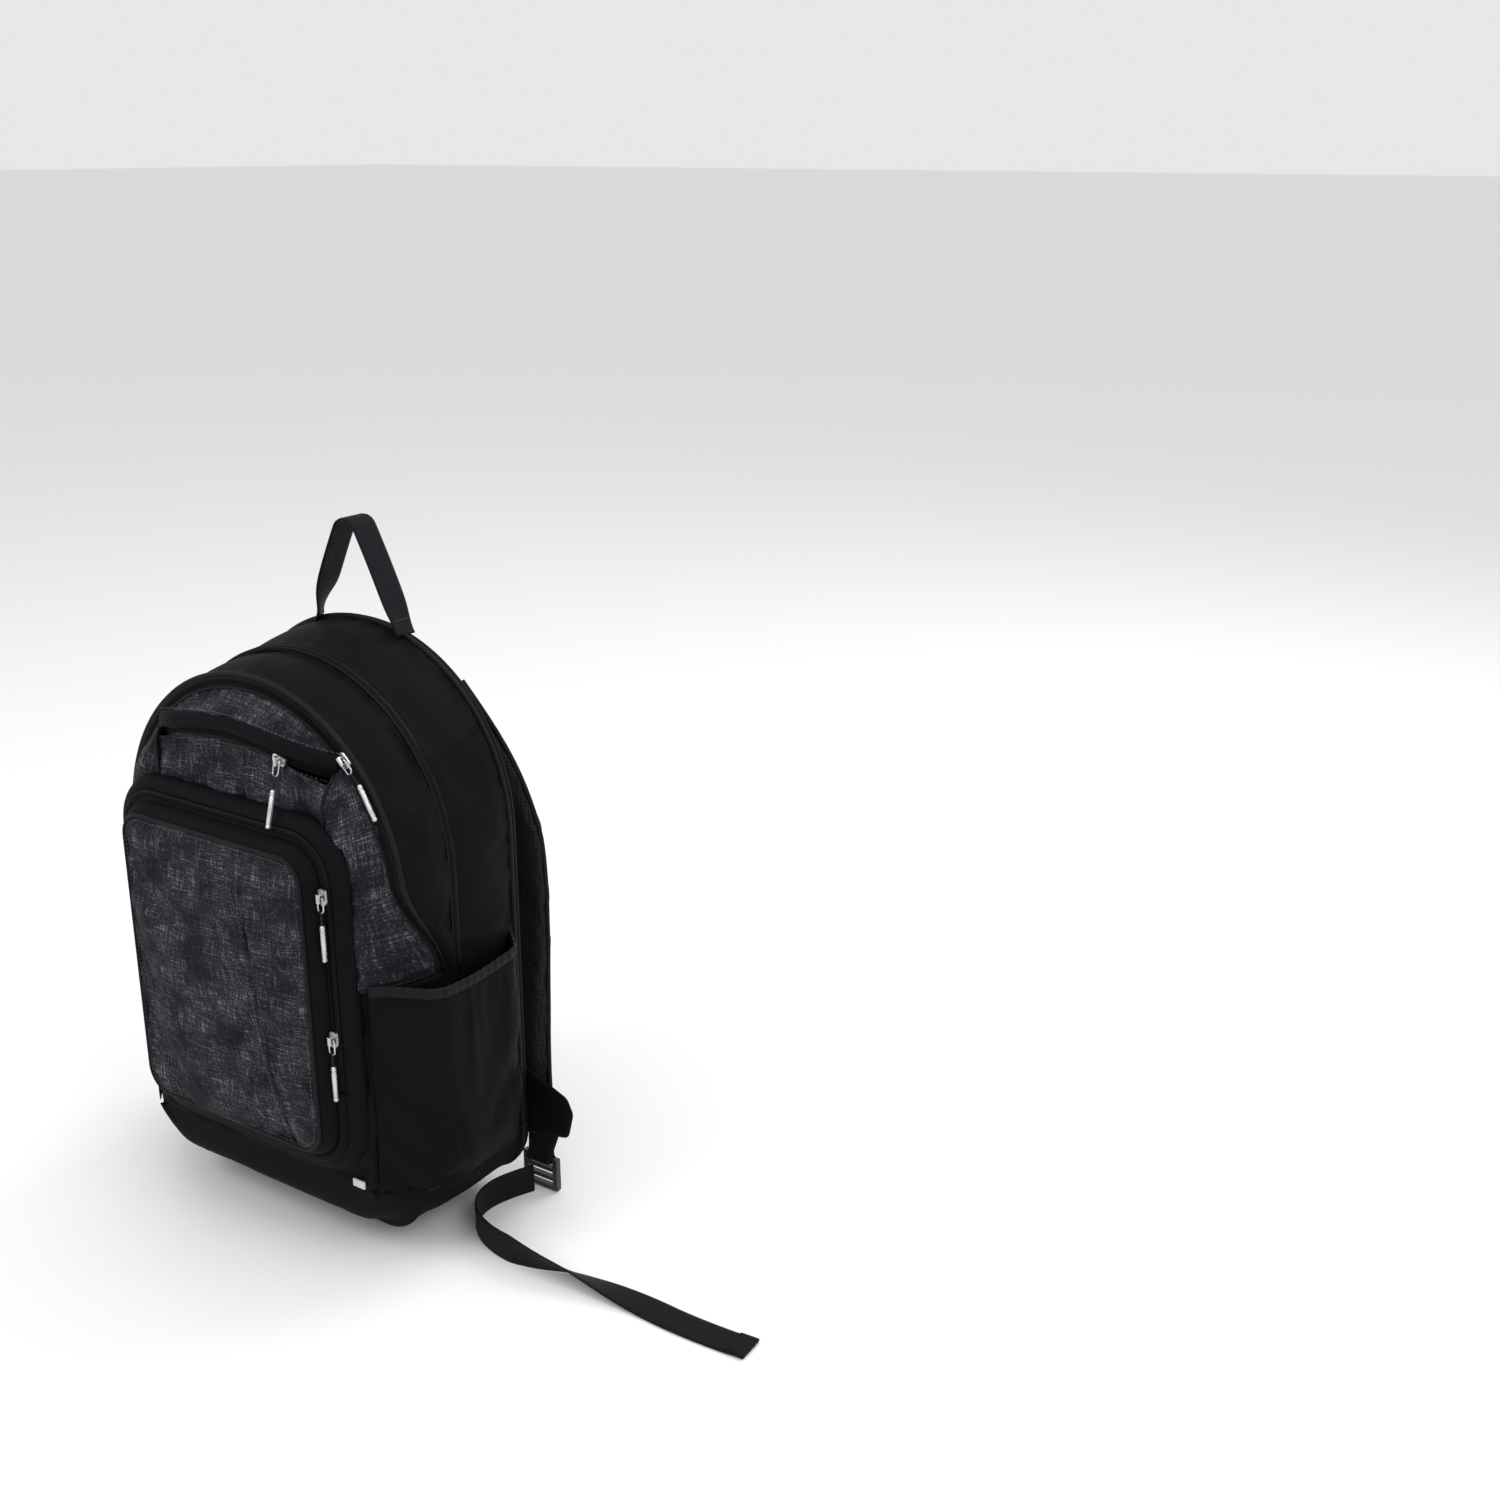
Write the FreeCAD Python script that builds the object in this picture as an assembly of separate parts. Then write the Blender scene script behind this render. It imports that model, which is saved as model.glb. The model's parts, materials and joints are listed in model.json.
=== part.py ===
"""School backpack, hung by its haul loop, as separate sewn panels, zips and harness pieces.

Units are millimetres. The origin is the point where the haul loop bears on its hook.
The front pocket faces -Y, the back panel faces +Y, and +Z is up.
"""
import FreeCAD, Part
import math
import os

os.makedirs("parts", exist_ok=True)
Vector = FreeCAD.Vector

# ---- driving dimensions ----------------------------------------------------------------
BODY_WIDTH = 300.0
BODY_HEIGHT = 460.0
LOOP_DROP = 80.0
MAIN_DEPTH = 118.0
FRONT_DEPTH = 25.0
POCKET_DEPTH = 25.0
FABRIC = 2.0
SKIN = 1.5
CROWN_DROP = 22.0
CROWN_FLAT = 1.0
BASE_CORNER = 45.0
BASE_BAND = 50.0
FLOOR_TRIM = 0.05
YOKE_TAPER = 0.7
WING_ROUND = 7.0
RAIL_INSET = 1.0
UPRIGHT_RISE = 1.0
BEND_SHARE = 0.45
FLOOR_GAP = 17.0

ZIP_BAND = 8.0
ZIP_THICK = 2.5
REAR_STRIP = 62.0

FRONT_INSET = 24.0
FRONT_CORNER = 85.0
FACE_DROP = 46.0
FRONT_BASE_RISE = 18.0
STRIP_TOP = 256.0
STRIP_END = 318.0

UPPER_ZIP_RADIUS = 260.0
UPPER_ZIP_DROP = 137.0
UPPER_ZIP_REACH = 88.0
WELT_HEIGHT = 10.0

POCKET_HALF = 122.0
POCKET_TOP = 188.0
POCKET_BOTTOM = 478.0
POCKET_CORNER = 45.0
POCKET_STEP = 8.0
POCKET_TAPER = 9.0
POCKET_ZIP_END = 400.0
POCKET_OPEN_TOP = 252.0
POCKET_OPEN_END = 344.0
POCKET_SEAM_X = 48.0
POCKET_SEAM_SWING = 14.0

SIDE_POCKET_TOP = 322.0
SIDE_POCKET_BOTTOM = 488.0
SIDE_POCKET_BULGE = 22.0
BINDING_HEIGHT = 9.0
BINDING_THICK = 3.0

BOARD_THICK = 8.0
PAD_THICK = 8.0
PAD_WIDTH = 62.0
PAD_HEIGHT = 210.0
YOKE_WIDTH = 190.0
YOKE_HEIGHT = 44.0

WEBBING = 25.0
WEB_THICK = 2.0
LOOP_HALF = 48.0
LOOP_BEND = 10.0
LOOP_BASE_WIDTH = 15.0

SLIDER_LENGTH = 13.0
SLIDER_WIDTH = 7.0
SLIDER_OUTSET = 0.8
SLIDER_THICK = 2.2
SLIDER_GAP = 0.4
BAIL_HEIGHT = 4.2
BAIL_LENGTH = 7.0
BAIL_WIDTH = 2.6
BAIL_BAR = 1.2
TAB_BAR = 0.8
PULL_TAB_LENGTH = 12.0
PULL_TAB_WIDTH = 7.0
PULL_CORD = 1.8
PULL_CORD_LENGTH = 11.0
PULL_BAR_LENGTH = 28.0
PULL_BAR = 4.0

LOCK_WIDTH = 36.0
LOCK_HEIGHT = 29.0
LOCK_THICK = 5.0
LOCK_BAR = 2.0
LOCK_SLOT = 5.0
LOCK_OUTSET = 2.0
LOCK_Y = 20.0
LOOP_CLEAR = 0.4

# ---- derived places --------------------------------------------------------------------
HALF = BODY_WIDTH / 2
TOP = -LOOP_DROP
LOCK_X = BODY_WIDTH / 2 + LOCK_OUTSET
BOTTOM = TOP - BODY_HEIGHT
FLOOR = BOTTOM - FLOOR_GAP
ARCH = HALF - CROWN_FLAT
FACE_TOP = TOP - FACE_DROP
FRONT_Y = -MAIN_DEPTH
CHAIN_Y = -REAR_STRIP - ZIP_BAND
FRONT_ZIP_Y = FRONT_Y - ZIP_THICK
FACE_Y = FRONT_Y - FRONT_DEPTH
POCKET_MID_Y = FACE_Y - POCKET_DEPTH / 2
POCKET_FACE_Y = FACE_Y - POCKET_DEPTH
BACK_Y = BOARD_THICK + FABRIC
FRONT_HALF = HALF - FRONT_INSET
FRONT_TOP = TOP - CROWN_DROP
UPPER_ZIP_Z = -UPPER_ZIP_DROP - UPPER_ZIP_RADIUS


def save(name, shape):
    """Write one node's STEP file and print its solids and volume."""
    solids = len(shape.Solids)
    shape.exportStep("parts/" + name + ".step")
    print(f"{name:32s} solids {solids} volume {shape.Volume:12.1f} valid {shape.isValid()}")


def to_xz(y):
    """Return a map from (u, v) to a point of the plane at this y."""
    return lambda u, v: Vector(u, y, v)


def to_xy(z):
    """Return a map from (u, v) to a point of the level plane at this z."""
    return lambda u, v: Vector(u, v, z)


def corner(before, point, after, radius):
    """Return the start, middle, end and centre of the arc that rounds one corner."""
    ax, ay = before[0] - point[0], before[1] - point[1]
    bx, by = after[0] - point[0], after[1] - point[1]
    a, b = math.hypot(ax, ay), math.hypot(bx, by)
    ax, ay, bx, by = ax / a, ay / a, bx / b, by / b
    half = math.acos(max(-1.0, min(1.0, ax * bx + ay * by))) / 2
    reach = radius / math.tan(half)
    start = (point[0] + ax * reach, point[1] + ay * reach)
    end = (point[0] + bx * reach, point[1] + by * reach)
    mx, my = ax + bx, ay + by
    m = math.hypot(mx, my)
    out = radius / math.sin(half)
    centre = (point[0] + mx / m * out, point[1] + my / m * out)
    middle = (centre[0] - mx / m * radius, centre[1] - my / m * radius)
    side = 1.0 if bx * ay - by * ax > 0 else -1.0
    return start, middle, end, centre, radius, side


def ribbon_edges(points, radii, offset):
    """Return the pieces of an open rounded path, moved sideways to its left by offset."""
    corners = [corner(points[i], points[i + 1], points[i + 2], radii[i]) for i in range(len(points) - 2)]
    pieces = []
    here = points[0]
    for i in range(len(points) - 1):
        last = i == len(corners)
        target = points[-1] if last else corners[i][0]
        dx, dy = points[i + 1][0] - points[i][0], points[i + 1][1] - points[i][1]
        length = math.hypot(dx, dy)
        nx, ny = -dy / length * offset, dx / length * offset
        pieces.append([(here[0] + nx, here[1] + ny), (target[0] + nx, target[1] + ny)])
        if not last:
            start, middle, end, centre, radius, side = corners[i]
            scale = (radius - side * offset) / radius
            arc = []
            for p in (start, middle, end):
                arc.append((centre[0] + (p[0] - centre[0]) * scale, centre[1] + (p[1] - centre[1]) * scale))
            pieces.append(arc)
            here = end
    return pieces


def edges_of(pieces, place):
    """Turn two-point and three-point pieces into straight and round edges."""
    edges = []
    for piece in pieces:
        spots = [place(u, v) for u, v in piece]
        if len(spots) == 2:
            edges.append(Part.LineSegment(spots[0], spots[1]).toShape())
        else:
            edges.append(Part.Arc(spots[0], spots[1], spots[2]).toShape())
    return edges


def ribbon_wire(points, radii, thickness, place):
    """Return the closed outline of a rounded path with this thickness, centred on the path."""
    left = ribbon_edges(points, radii, thickness / 2)
    right = ribbon_edges(points, radii, -thickness / 2)
    back = [list(reversed(piece)) for piece in reversed(right)]
    caps = [[left[-1][-1], back[0][0]]]
    close = [[back[-1][-1], left[0][0]]]
    return Part.Wire(edges_of(left + caps + back + close, place))


def outline_wire(points, radii, place):
    """Return a closed wire through the points with each corner rounded."""
    count = len(points)
    corners = [corner(points[i - 1], points[i], points[(i + 1) % count], radii[i]) for i in range(count)]
    pieces = []
    for i in range(count):
        pieces.append(list(corners[i][:3]))
        pieces.append([corners[i][2], corners[(i + 1) % count][0]])
    return Part.Wire(edges_of(pieces, place))


def loft(wires):
    """Return the straight-sided solid through closed wires of the same make."""
    return Part.makeLoft(wires, True, True)


def prism(wire, along):
    """Return the wire's face pushed along a vector."""
    return Part.Face(wire).extrude(along)


def box(low, high):
    """Return a box between two corners."""
    size = [high[i] - low[i] for i in range(3)]
    return Part.makeBox(size[0], size[1], size[2], Vector(*low))


def rod(start, direction, length, radius):
    """Return a round rod."""
    return Part.makeCylinder(radius, length, Vector(*start), Vector(*direction))


def mirror(shape):
    """Return the left-hand copy of a right-hand shape."""
    return shape.mirror(Vector(0, 0, 0), Vector(1, 0, 0))


def body_outline(half, top, bottom, top_radius, base_radius):
    """Return the corner points and radii of a domed panel."""
    points = [(half, bottom), (half, top), (-half, top), (-half, bottom)]
    return points, [base_radius, top_radius, top_radius, base_radius]


def panel(half, top, bottom, top_radius, base_radius, y, thickness):
    """Return a flat domed panel whose rear face is at y."""
    points, radii = body_outline(half, top, bottom, top_radius, base_radius)
    return prism(outline_wire(points, radii, to_xz(y)), Vector(0, -thickness, 0))


def dome_at(y):
    """Return the half width and top height of the body's dome at one depth."""
    share = -y / MAIN_DEPTH
    return HALF - share, TOP - CROWN_DROP * share


def dome_strip(y_rear, y_front, leg_bottom, inset, thickness):
    """Return a strip of the dome between two depths, its outside sunk by inset."""
    wires = []
    for y in (y_rear, y_front):
        half, top = dome_at(y)
        sink = inset + thickness / 2
        points = [(half - sink, leg_bottom), (half - sink, top - sink)]
        points += [(-half + sink, top - sink), (-half + sink, leg_bottom)]
        wires.append(ribbon_wire(points, [half - CROWN_FLAT - sink] * 2, thickness, to_xz(y)))
    return loft(wires)


def ring_band(outer, inner, y, thickness):
    """Return a flat ring between two closed outlines, its rear face at y."""
    push = Vector(0, -thickness, 0)
    return prism(outline_wire(*outer, to_xz(y)), push).cut(prism(outline_wire(*inner, to_xz(y)), push))


def tapered_ring(rear, front, y_rear, y_front, wall):
    """Return a hollow tapered wall between two closed outlines given as outline arguments."""
    solids = []
    for sink in (0.0, wall):
        wires = []
        for (half, top, bottom, top_radius, base_radius), y in ((rear, y_rear), (front, y_front)):
            points, radii = body_outline(half - sink, top - sink, bottom + sink, top_radius - sink, base_radius - sink)
            wires.append(outline_wire(points, radii, to_xz(y)))
        solids.append(loft(wires))
    return solids[0].cut(solids[1])


# ---- body: back, gusset, sides, base and divider ---------------------------------------
BOARD_INSET = 3.0


def build_back():
    """Make the back panel, its foam board, the padding and the strap yoke."""
    save("back_panel", panel(HALF, TOP, BOTTOM, ARCH, BASE_CORNER, BACK_Y, FABRIC))
    save("back_board", panel(HALF - BOARD_INSET, TOP - BOARD_INSET, BOTTOM + BOARD_INSET, ARCH - BOARD_INSET,
                             BASE_CORNER - BOARD_INSET, BOARD_THICK, BOARD_THICK))
    pad_top = TOP - YOKE_HEIGHT - 3 * PAD_THICK
    pad_gap = PAD_WIDTH / 3
    edge = PAD_THICK - FABRIC
    outline = [(pad_gap / 2 + PAD_WIDTH, pad_top - PAD_HEIGHT), (pad_gap / 2 + PAD_WIDTH, pad_top)]
    outline += [(pad_gap / 2, pad_top), (pad_gap / 2, pad_top - PAD_HEIGHT)]
    pad = prism(outline_wire(outline, [PAD_WIDTH / 4] * 4, to_xz(BACK_Y + PAD_THICK)), Vector(0, -PAD_THICK, 0))
    save("back_pad_right", pad)
    save("back_pad_left", mirror(pad))
    low_top = pad_top - PAD_HEIGHT - pad_gap
    reach = pad_gap / 2 + PAD_WIDTH
    lower = [(reach, low_top - PAD_WIDTH), (reach, low_top), (-reach, low_top), (-reach, low_top - PAD_WIDTH)]
    lower_wire = outline_wire(lower, [PAD_WIDTH / 4] * 4, to_xz(BACK_Y + edge))
    save("back_pad_lower", prism(lower_wire, Vector(0, -edge, 0)))
    yoke_top = TOP - LOOP_BASE_WIDTH - FABRIC
    span = YOKE_WIDTH / 2
    yoke = [(span, yoke_top - YOKE_HEIGHT), (span * YOKE_TAPER, yoke_top), (-span * YOKE_TAPER, yoke_top)]
    yoke += [(-span, yoke_top - YOKE_HEIGHT)]
    yoke_wire = outline_wire(yoke, [BINDING_THICK] * 4, to_xz(BACK_Y + FABRIC))
    save("strap_yoke", prism(yoke_wire, Vector(0, -FABRIC, 0)))


def build_gusset():
    """Make the domed gusset's two strips, the main zip's chain, the sides, base and divider."""
    side_top = -STRIP_END
    save("gusset_rear_strip", dome_strip(0.0, -REAR_STRIP, side_top, 0.0, FABRIC))
    chain = dome_strip(-REAR_STRIP, CHAIN_Y, side_top, -(ZIP_THICK - FABRIC), ZIP_THICK)
    save("main_zip_chain", chain)
    save("gusset_front_strip", dome_strip(CHAIN_Y, FRONT_Y, side_top, 0.0, FABRIC))
    side_bottom = BOTTOM + BASE_BAND
    front_half = dome_at(FRONT_Y)[0]
    walls = [[HALF - FABRIC, 0.0], [front_half - FABRIC, FRONT_Y], [front_half, FRONT_Y], [HALF, 0.0]]
    spots = [Vector(x, y, side_bottom) for x, y in walls]
    side = Part.Face(Part.makePolygon(spots + spots[:1])).extrude(Vector(0, 0, side_top - side_bottom))
    save("side_panel_right", side)
    save("side_panel_left", mirror(side))
    wires = []
    level = BOTTOM - FLOOR_TRIM
    for half, low, y in ((HALF, level, 0.0), (front_half, level, FRONT_Y),
                         (FRONT_HALF, BOTTOM + FRONT_BASE_RISE, FACE_Y)):
        sink = FABRIC / 2
        points = [(-half + sink, side_bottom), (-half + sink, low + sink)]
        points += [(half - sink, low + sink), (half - sink, side_bottom)]
        radius = min(BASE_CORNER, side_bottom - low - FABRIC) - sink
        wires.append(ribbon_wire(points, [radius] * 2, FABRIC, to_xz(y)))
    lip = [(-FRONT_HALF, side_bottom), (-FRONT_HALF, low), (FRONT_HALF, low), (FRONT_HALF, side_bottom)]
    lip_radii = [SKIN, radius + sink, radius + sink, SKIN]
    front_lip = prism(outline_wire(lip, lip_radii, to_xz(FACE_Y + FABRIC)), Vector(0, -FABRIC, 0))
    below = box([-2 * HALF, 2 * FACE_Y, 2 * BOTTOM], [2 * HALF, BACK_Y, BOTTOM])
    save("base_panel", loft(wires).fuse(front_lip).removeSplitter().cut(below))
    divider = panel(front_half - FABRIC, FRONT_TOP - FABRIC, BOTTOM + FABRIC, front_half - CROWN_FLAT - FABRIC,
                    BASE_CORNER - FABRIC, FRONT_Y + SKIN, SKIN)
    save("compartment_divider", divider)


# ---- front compartment -----------------------------------------------------------------
def upper_disc(radius, y_rear, depth):
    """Return a disc about the upper zip's centre."""
    return rod((0, y_rear, UPPER_ZIP_Z), (0, -1, 0), depth, radius)


def open_arch(half, top, leg_bottom, radius, thickness, y):
    """Return the closed outline of an arch with straight legs, its outside at half and top."""
    sink = thickness / 2
    points = [(half - sink, leg_bottom), (half - sink, top - sink)]
    points += [(-half + sink, top - sink), (-half + sink, leg_bottom)]
    return ribbon_wire(points, [radius - sink] * 2, thickness, to_xz(y))


def build_front_panels():
    """Make the denim panel between the front zip and the main pocket, cut for the upper zip."""
    rear_half = dome_at(FRONT_Y)[0] - ZIP_BAND
    rear = open_arch(rear_half, FRONT_TOP - ZIP_BAND, -STRIP_TOP, rear_half - CROWN_FLAT, FABRIC, FRONT_ZIP_Y)
    fore = open_arch(FRONT_HALF, FACE_TOP, -STRIP_TOP, FRONT_CORNER, FABRIC, FACE_Y + FABRIC)
    shoulder = loft([rear, fore])
    points = [(FRONT_HALF, -STRIP_TOP), (FRONT_HALF, FACE_TOP), (-FRONT_HALF, FACE_TOP), (-FRONT_HALF, -STRIP_TOP)]
    radii = [SKIN, FRONT_CORNER, FRONT_CORNER, SKIN]
    sheet = prism(outline_wire(points, radii, to_xz(FACE_Y + FABRIC)), Vector(0, -FABRIC, 0))
    reach = UPPER_ZIP_REACH
    sheet = sheet.cut(box((-HALF, FACE_Y - 1, -STRIP_TOP - 1), (HALF, FACE_Y + FABRIC + 1, -POCKET_TOP)))
    window = box((-reach, FACE_Y - 1, -STRIP_TOP - 1), (reach, FACE_Y + FABRIC + 1, 0))
    inner = UPPER_ZIP_RADIUS - ZIP_BAND
    deep = FRONT_DEPTH
    face = sheet.common(window).common(upper_disc(inner, FACE_Y + deep / 2, deep))
    upper = sheet.cut(window.common(upper_disc(UPPER_ZIP_RADIUS, FACE_Y + deep / 2, deep)))
    save("front_upper_panel", upper.fuse(shoulder).removeSplitter())
    save("upper_pocket_face", face)
    limits = box((-reach, FACE_Y - deep, -STRIP_TOP), (reach, FACE_Y + deep, 0))
    band = upper_disc(UPPER_ZIP_RADIUS, FACE_Y + FABRIC, ZIP_THICK)
    band = band.cut(upper_disc(inner, FACE_Y + deep / 2, deep)).common(limits)
    save("upper_zip_chain", band)
    flap = upper_disc(UPPER_ZIP_RADIUS + WELT_HEIGHT, FACE_Y, SKIN)
    flap = flap.cut(upper_disc(UPPER_ZIP_RADIUS + FABRIC, FACE_Y + deep / 2, deep)).common(limits)
    save("welt_flap", flap)


def wrap_walls():
    """Return the four level corner points of the right-hand wall from the front zip to the face."""
    rear_half = dome_at(FRONT_Y)[0] - ZIP_BAND
    fore_wall = [(FRONT_HALF - FABRIC, FACE_Y), (FRONT_HALF, FACE_Y)]
    return [(rear_half - FABRIC, FRONT_ZIP_Y)] + fore_wall + [(rear_half, FRONT_ZIP_Y)]


def upright(walls, low, high):
    """Return a wall with this level section between two heights."""
    spots = [Vector(x, y, low) for x, y in walls]
    return Part.Face(Part.makePolygon(spots + spots[:1])).extrude(Vector(0, 0, high - low))


def build_front_sides():
    """Make the front zip's chain, the denim side strips and the black lower wrap."""
    half = dome_at(FRONT_Y)[0]
    arch = open_arch(half, FRONT_TOP, -STRIP_END, half - CROWN_FLAT, ZIP_BAND, FRONT_Y)
    save("front_zip_chain", prism(arch, Vector(0, -ZIP_THICK, 0)))
    strip = upright(wrap_walls(), -STRIP_END, -STRIP_TOP)
    save("front_side_strip_right", strip)
    save("front_side_strip_left", mirror(strip))
    side_bottom = BOTTOM + BASE_BAND
    leg = upright(wrap_walls(), side_bottom, -STRIP_END)
    inner = FRONT_HALF - FABRIC
    plate = box((-FRONT_HALF, FACE_Y, side_bottom), (FRONT_HALF, FACE_Y + FABRIC, -STRIP_END))
    upper_plate = box((-inner, FACE_Y, -STRIP_END), (inner, FACE_Y + FABRIC, -POCKET_TOP))
    rear_walls = [(half - FABRIC, FRONT_Y), (half - FABRIC, FRONT_ZIP_Y), (half, FRONT_ZIP_Y), (half, FRONT_Y)]
    rear_leg = upright(rear_walls, side_bottom, -STRIP_END)
    step_walls = [(half - ZIP_BAND - FABRIC, FRONT_ZIP_Y), (half - ZIP_BAND - FABRIC, FRONT_ZIP_Y + FABRIC),
                  (half, FRONT_ZIP_Y + FABRIC), (half, FRONT_ZIP_Y)]
    step_leg = upright(step_walls, side_bottom, -STRIP_END)
    legs = [leg, rear_leg, step_leg]
    legs += [mirror(piece) for piece in legs]
    save("front_lower_panel", plate.fuse(legs + [upper_plate]).removeSplitter())


# ---- main front pocket -----------------------------------------------------------------
def pocket_outline(step):
    """Return the pocket's outline, drawn in by step on every side."""
    corner_radius = POCKET_CORNER - step
    return POCKET_HALF - step, -POCKET_TOP - step, -POCKET_BOTTOM + step, corner_radius, corner_radius


def build_pocket():
    """Make the front pocket's gussets, zip chain and two-piece face."""
    rear = pocket_outline(0.0)
    mid_outer = pocket_outline(POCKET_STEP)
    mid_inner = pocket_outline(POCKET_STEP + ZIP_BAND)
    front = pocket_outline(POCKET_STEP + ZIP_BAND + POCKET_TAPER)
    save("pocket_gusset_outer", tapered_ring(rear, mid_outer, FACE_Y, POCKET_MID_Y, FABRIC))
    ring = ring_band(body_outline(*mid_outer), body_outline(*mid_inner), POCKET_MID_Y, ZIP_THICK)
    behind, ahead = FACE_Y, POCKET_FACE_Y
    low = box((-HALF, ahead, -POCKET_BOTTOM), (HALF, behind, -POCKET_ZIP_END))
    opening = box((0, ahead, -POCKET_OPEN_END), (HALF, behind, -POCKET_OPEN_TOP))
    save("pocket_zip_chain", ring.cut(low).cut(opening))
    lap = pocket_outline(POCKET_STEP + ZIP_BAND + FABRIC)
    seat = ring_band(body_outline(*mid_outer), body_outline(*lap), POCKET_MID_Y, ZIP_THICK).common(low)
    inner_ring = tapered_ring(mid_inner, front, POCKET_MID_Y, POCKET_FACE_Y, FABRIC)
    save("pocket_gusset_inner", inner_ring.fuse(seat).removeSplitter())
    points, radii = body_outline(*front)
    face = prism(outline_wire(points, radii, to_xz(POCKET_FACE_Y)), Vector(0, -FABRIC, 0))
    top = -POCKET_TOP
    low_end = -POCKET_BOTTOM
    middle = (top + low_end) / 2
    seam = [Vector(POCKET_SEAM_X - POCKET_SEAM_SWING, 0, top), Vector(POCKET_SEAM_X, 0, middle),
            Vector(POCKET_SEAM_X + 2 * POCKET_SEAM_SWING, 0, low_end)]
    curve = Part.Arc(seam[0], seam[1], seam[2]).toShape()
    right = [Vector(HALF, 0, low_end), Vector(HALF, 0, top)]
    edges = [curve, Part.LineSegment(seam[2], right[0]).toShape(), Part.LineSegment(right[0], right[1]).toShape(),
             Part.LineSegment(right[1], seam[0]).toShape()]
    blade = Part.Face(Part.Wire(edges)).extrude(Vector(0, -BODY_HEIGHT, 0))
    save("pocket_face_side", face.common(blade))
    save("pocket_face_main", face.cut(blade))


# ---- side pockets ----------------------------------------------------------------------
SIDE_POCKET_REAR = 6.0
SIDE_POCKET_FLARE = 24.0
SIDE_POCKET_SETBACK = 8.0
SIDE_POCKET_FORE = MAIN_DEPTH - SIDE_POCKET_SETBACK
SIDE_POCKET_LIP = 1.5
SIDE_POCKET_RADII = (16.0, 24.0)
TAG_SIZE = 12.0


def side_path(gap):
    """Return the level path of a side pocket's wall, its two ends this far outside the body."""
    wide = HALF + SIDE_POCKET_BULGE
    fore = (FRONT_HALF + 2 * SIDE_POCKET_LIP + gap, FACE_Y + SIDE_POCKET_LIP)
    return [(HALF + gap, -SIDE_POCKET_REAR), (wide, -SIDE_POCKET_FLARE), (wide, -SIDE_POCKET_FORE), fore]


def build_side_pockets():
    """Make both side pockets and the bindings on their mouths, and the side tag."""
    height = SIDE_POCKET_BOTTOM - SIDE_POCKET_TOP
    place = to_xy(-SIDE_POCKET_BOTTOM)
    gap = SKIN / 2
    points = side_path(gap)
    wall = prism(ribbon_wire(points, SIDE_POCKET_RADII, SKIN, place), Vector(0, 0, height))
    left = ribbon_edges(points, SIDE_POCKET_RADII, 0.0)
    start = place(*left[0][0])
    end = place(*left[-1][-1])
    front_half = dome_at(FRONT_Y)[0]
    wall_half = front_half - ZIP_BAND
    knees = [place(wall_half + gap, FRONT_ZIP_Y - gap), place(front_half + gap, FRONT_ZIP_Y - gap),
             place(front_half + gap, FRONT_Y)]
    edges = edges_of(left, place)
    for spot in knees + [start]:
        edges.append(Part.LineSegment(end, spot).toShape())
        end = spot
    floor = Part.Face(Part.Wire(edges)).extrude(Vector(0, 0, SKIN))
    pocket = wall.fuse(floor).removeSplitter()
    mouth = ribbon_wire(side_path(gap + SKIN / 2), SIDE_POCKET_RADII, BINDING_THICK, to_xy(-SIDE_POCKET_TOP))
    binding = prism(mouth, Vector(0, 0, BINDING_HEIGHT))
    save("side_pocket_right", pocket)
    save("side_pocket_right_binding", binding)
    save("side_pocket_left_mesh", mirror(pocket))
    save("side_pocket_left_binding", mirror(binding))
    tag_x = FRONT_HALF - 2 * TAG_SIZE
    tag_z = BOTTOM + BASE_BAND
    save("side_tag", box((tag_x, FACE_Y - SKIN, tag_z), (tag_x + TAG_SIZE, FACE_Y, tag_z + TAG_SIZE / 2)))


# ---- zip sliders and pulls -------------------------------------------------------------
def slider_shape(turn):
    """Return a slider at the origin: it travels along X, faces +Z, and its bail is turned."""
    half_long, half_wide = SLIDER_LENGTH / 2, SLIDER_WIDTH / 2
    plate = box((-half_long, -half_wide, 0), (half_long, half_wide, SLIDER_THICK))
    uprights = [e for e in plate.Edges if abs(e.Vertexes[0].Z - e.Vertexes[1].Z) > UPRIGHT_RISE]
    plate = plate.makeFillet(SLIDER_WIDTH / 3, uprights)
    top = SLIDER_THICK + BAIL_HEIGHT
    bail = box((-BAIL_LENGTH / 2, -BAIL_WIDTH / 2, SLIDER_THICK / 2), (BAIL_LENGTH / 2, BAIL_WIDTH / 2, top))
    reach = BAIL_LENGTH / 2 - BAIL_BAR
    hole = box((-reach, -BAIL_WIDTH, SLIDER_THICK), (reach, BAIL_WIDTH, top - BAIL_BAR))
    bail = bail.cut(hole)
    bail.rotate(Vector(0, 0, 0), Vector(0, 0, 1), turn)
    return plate.fuse(bail).removeSplitter()


BAIL_EYE = SLIDER_THICK + (BAIL_HEIGHT - BAIL_BAR) / 2


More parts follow.
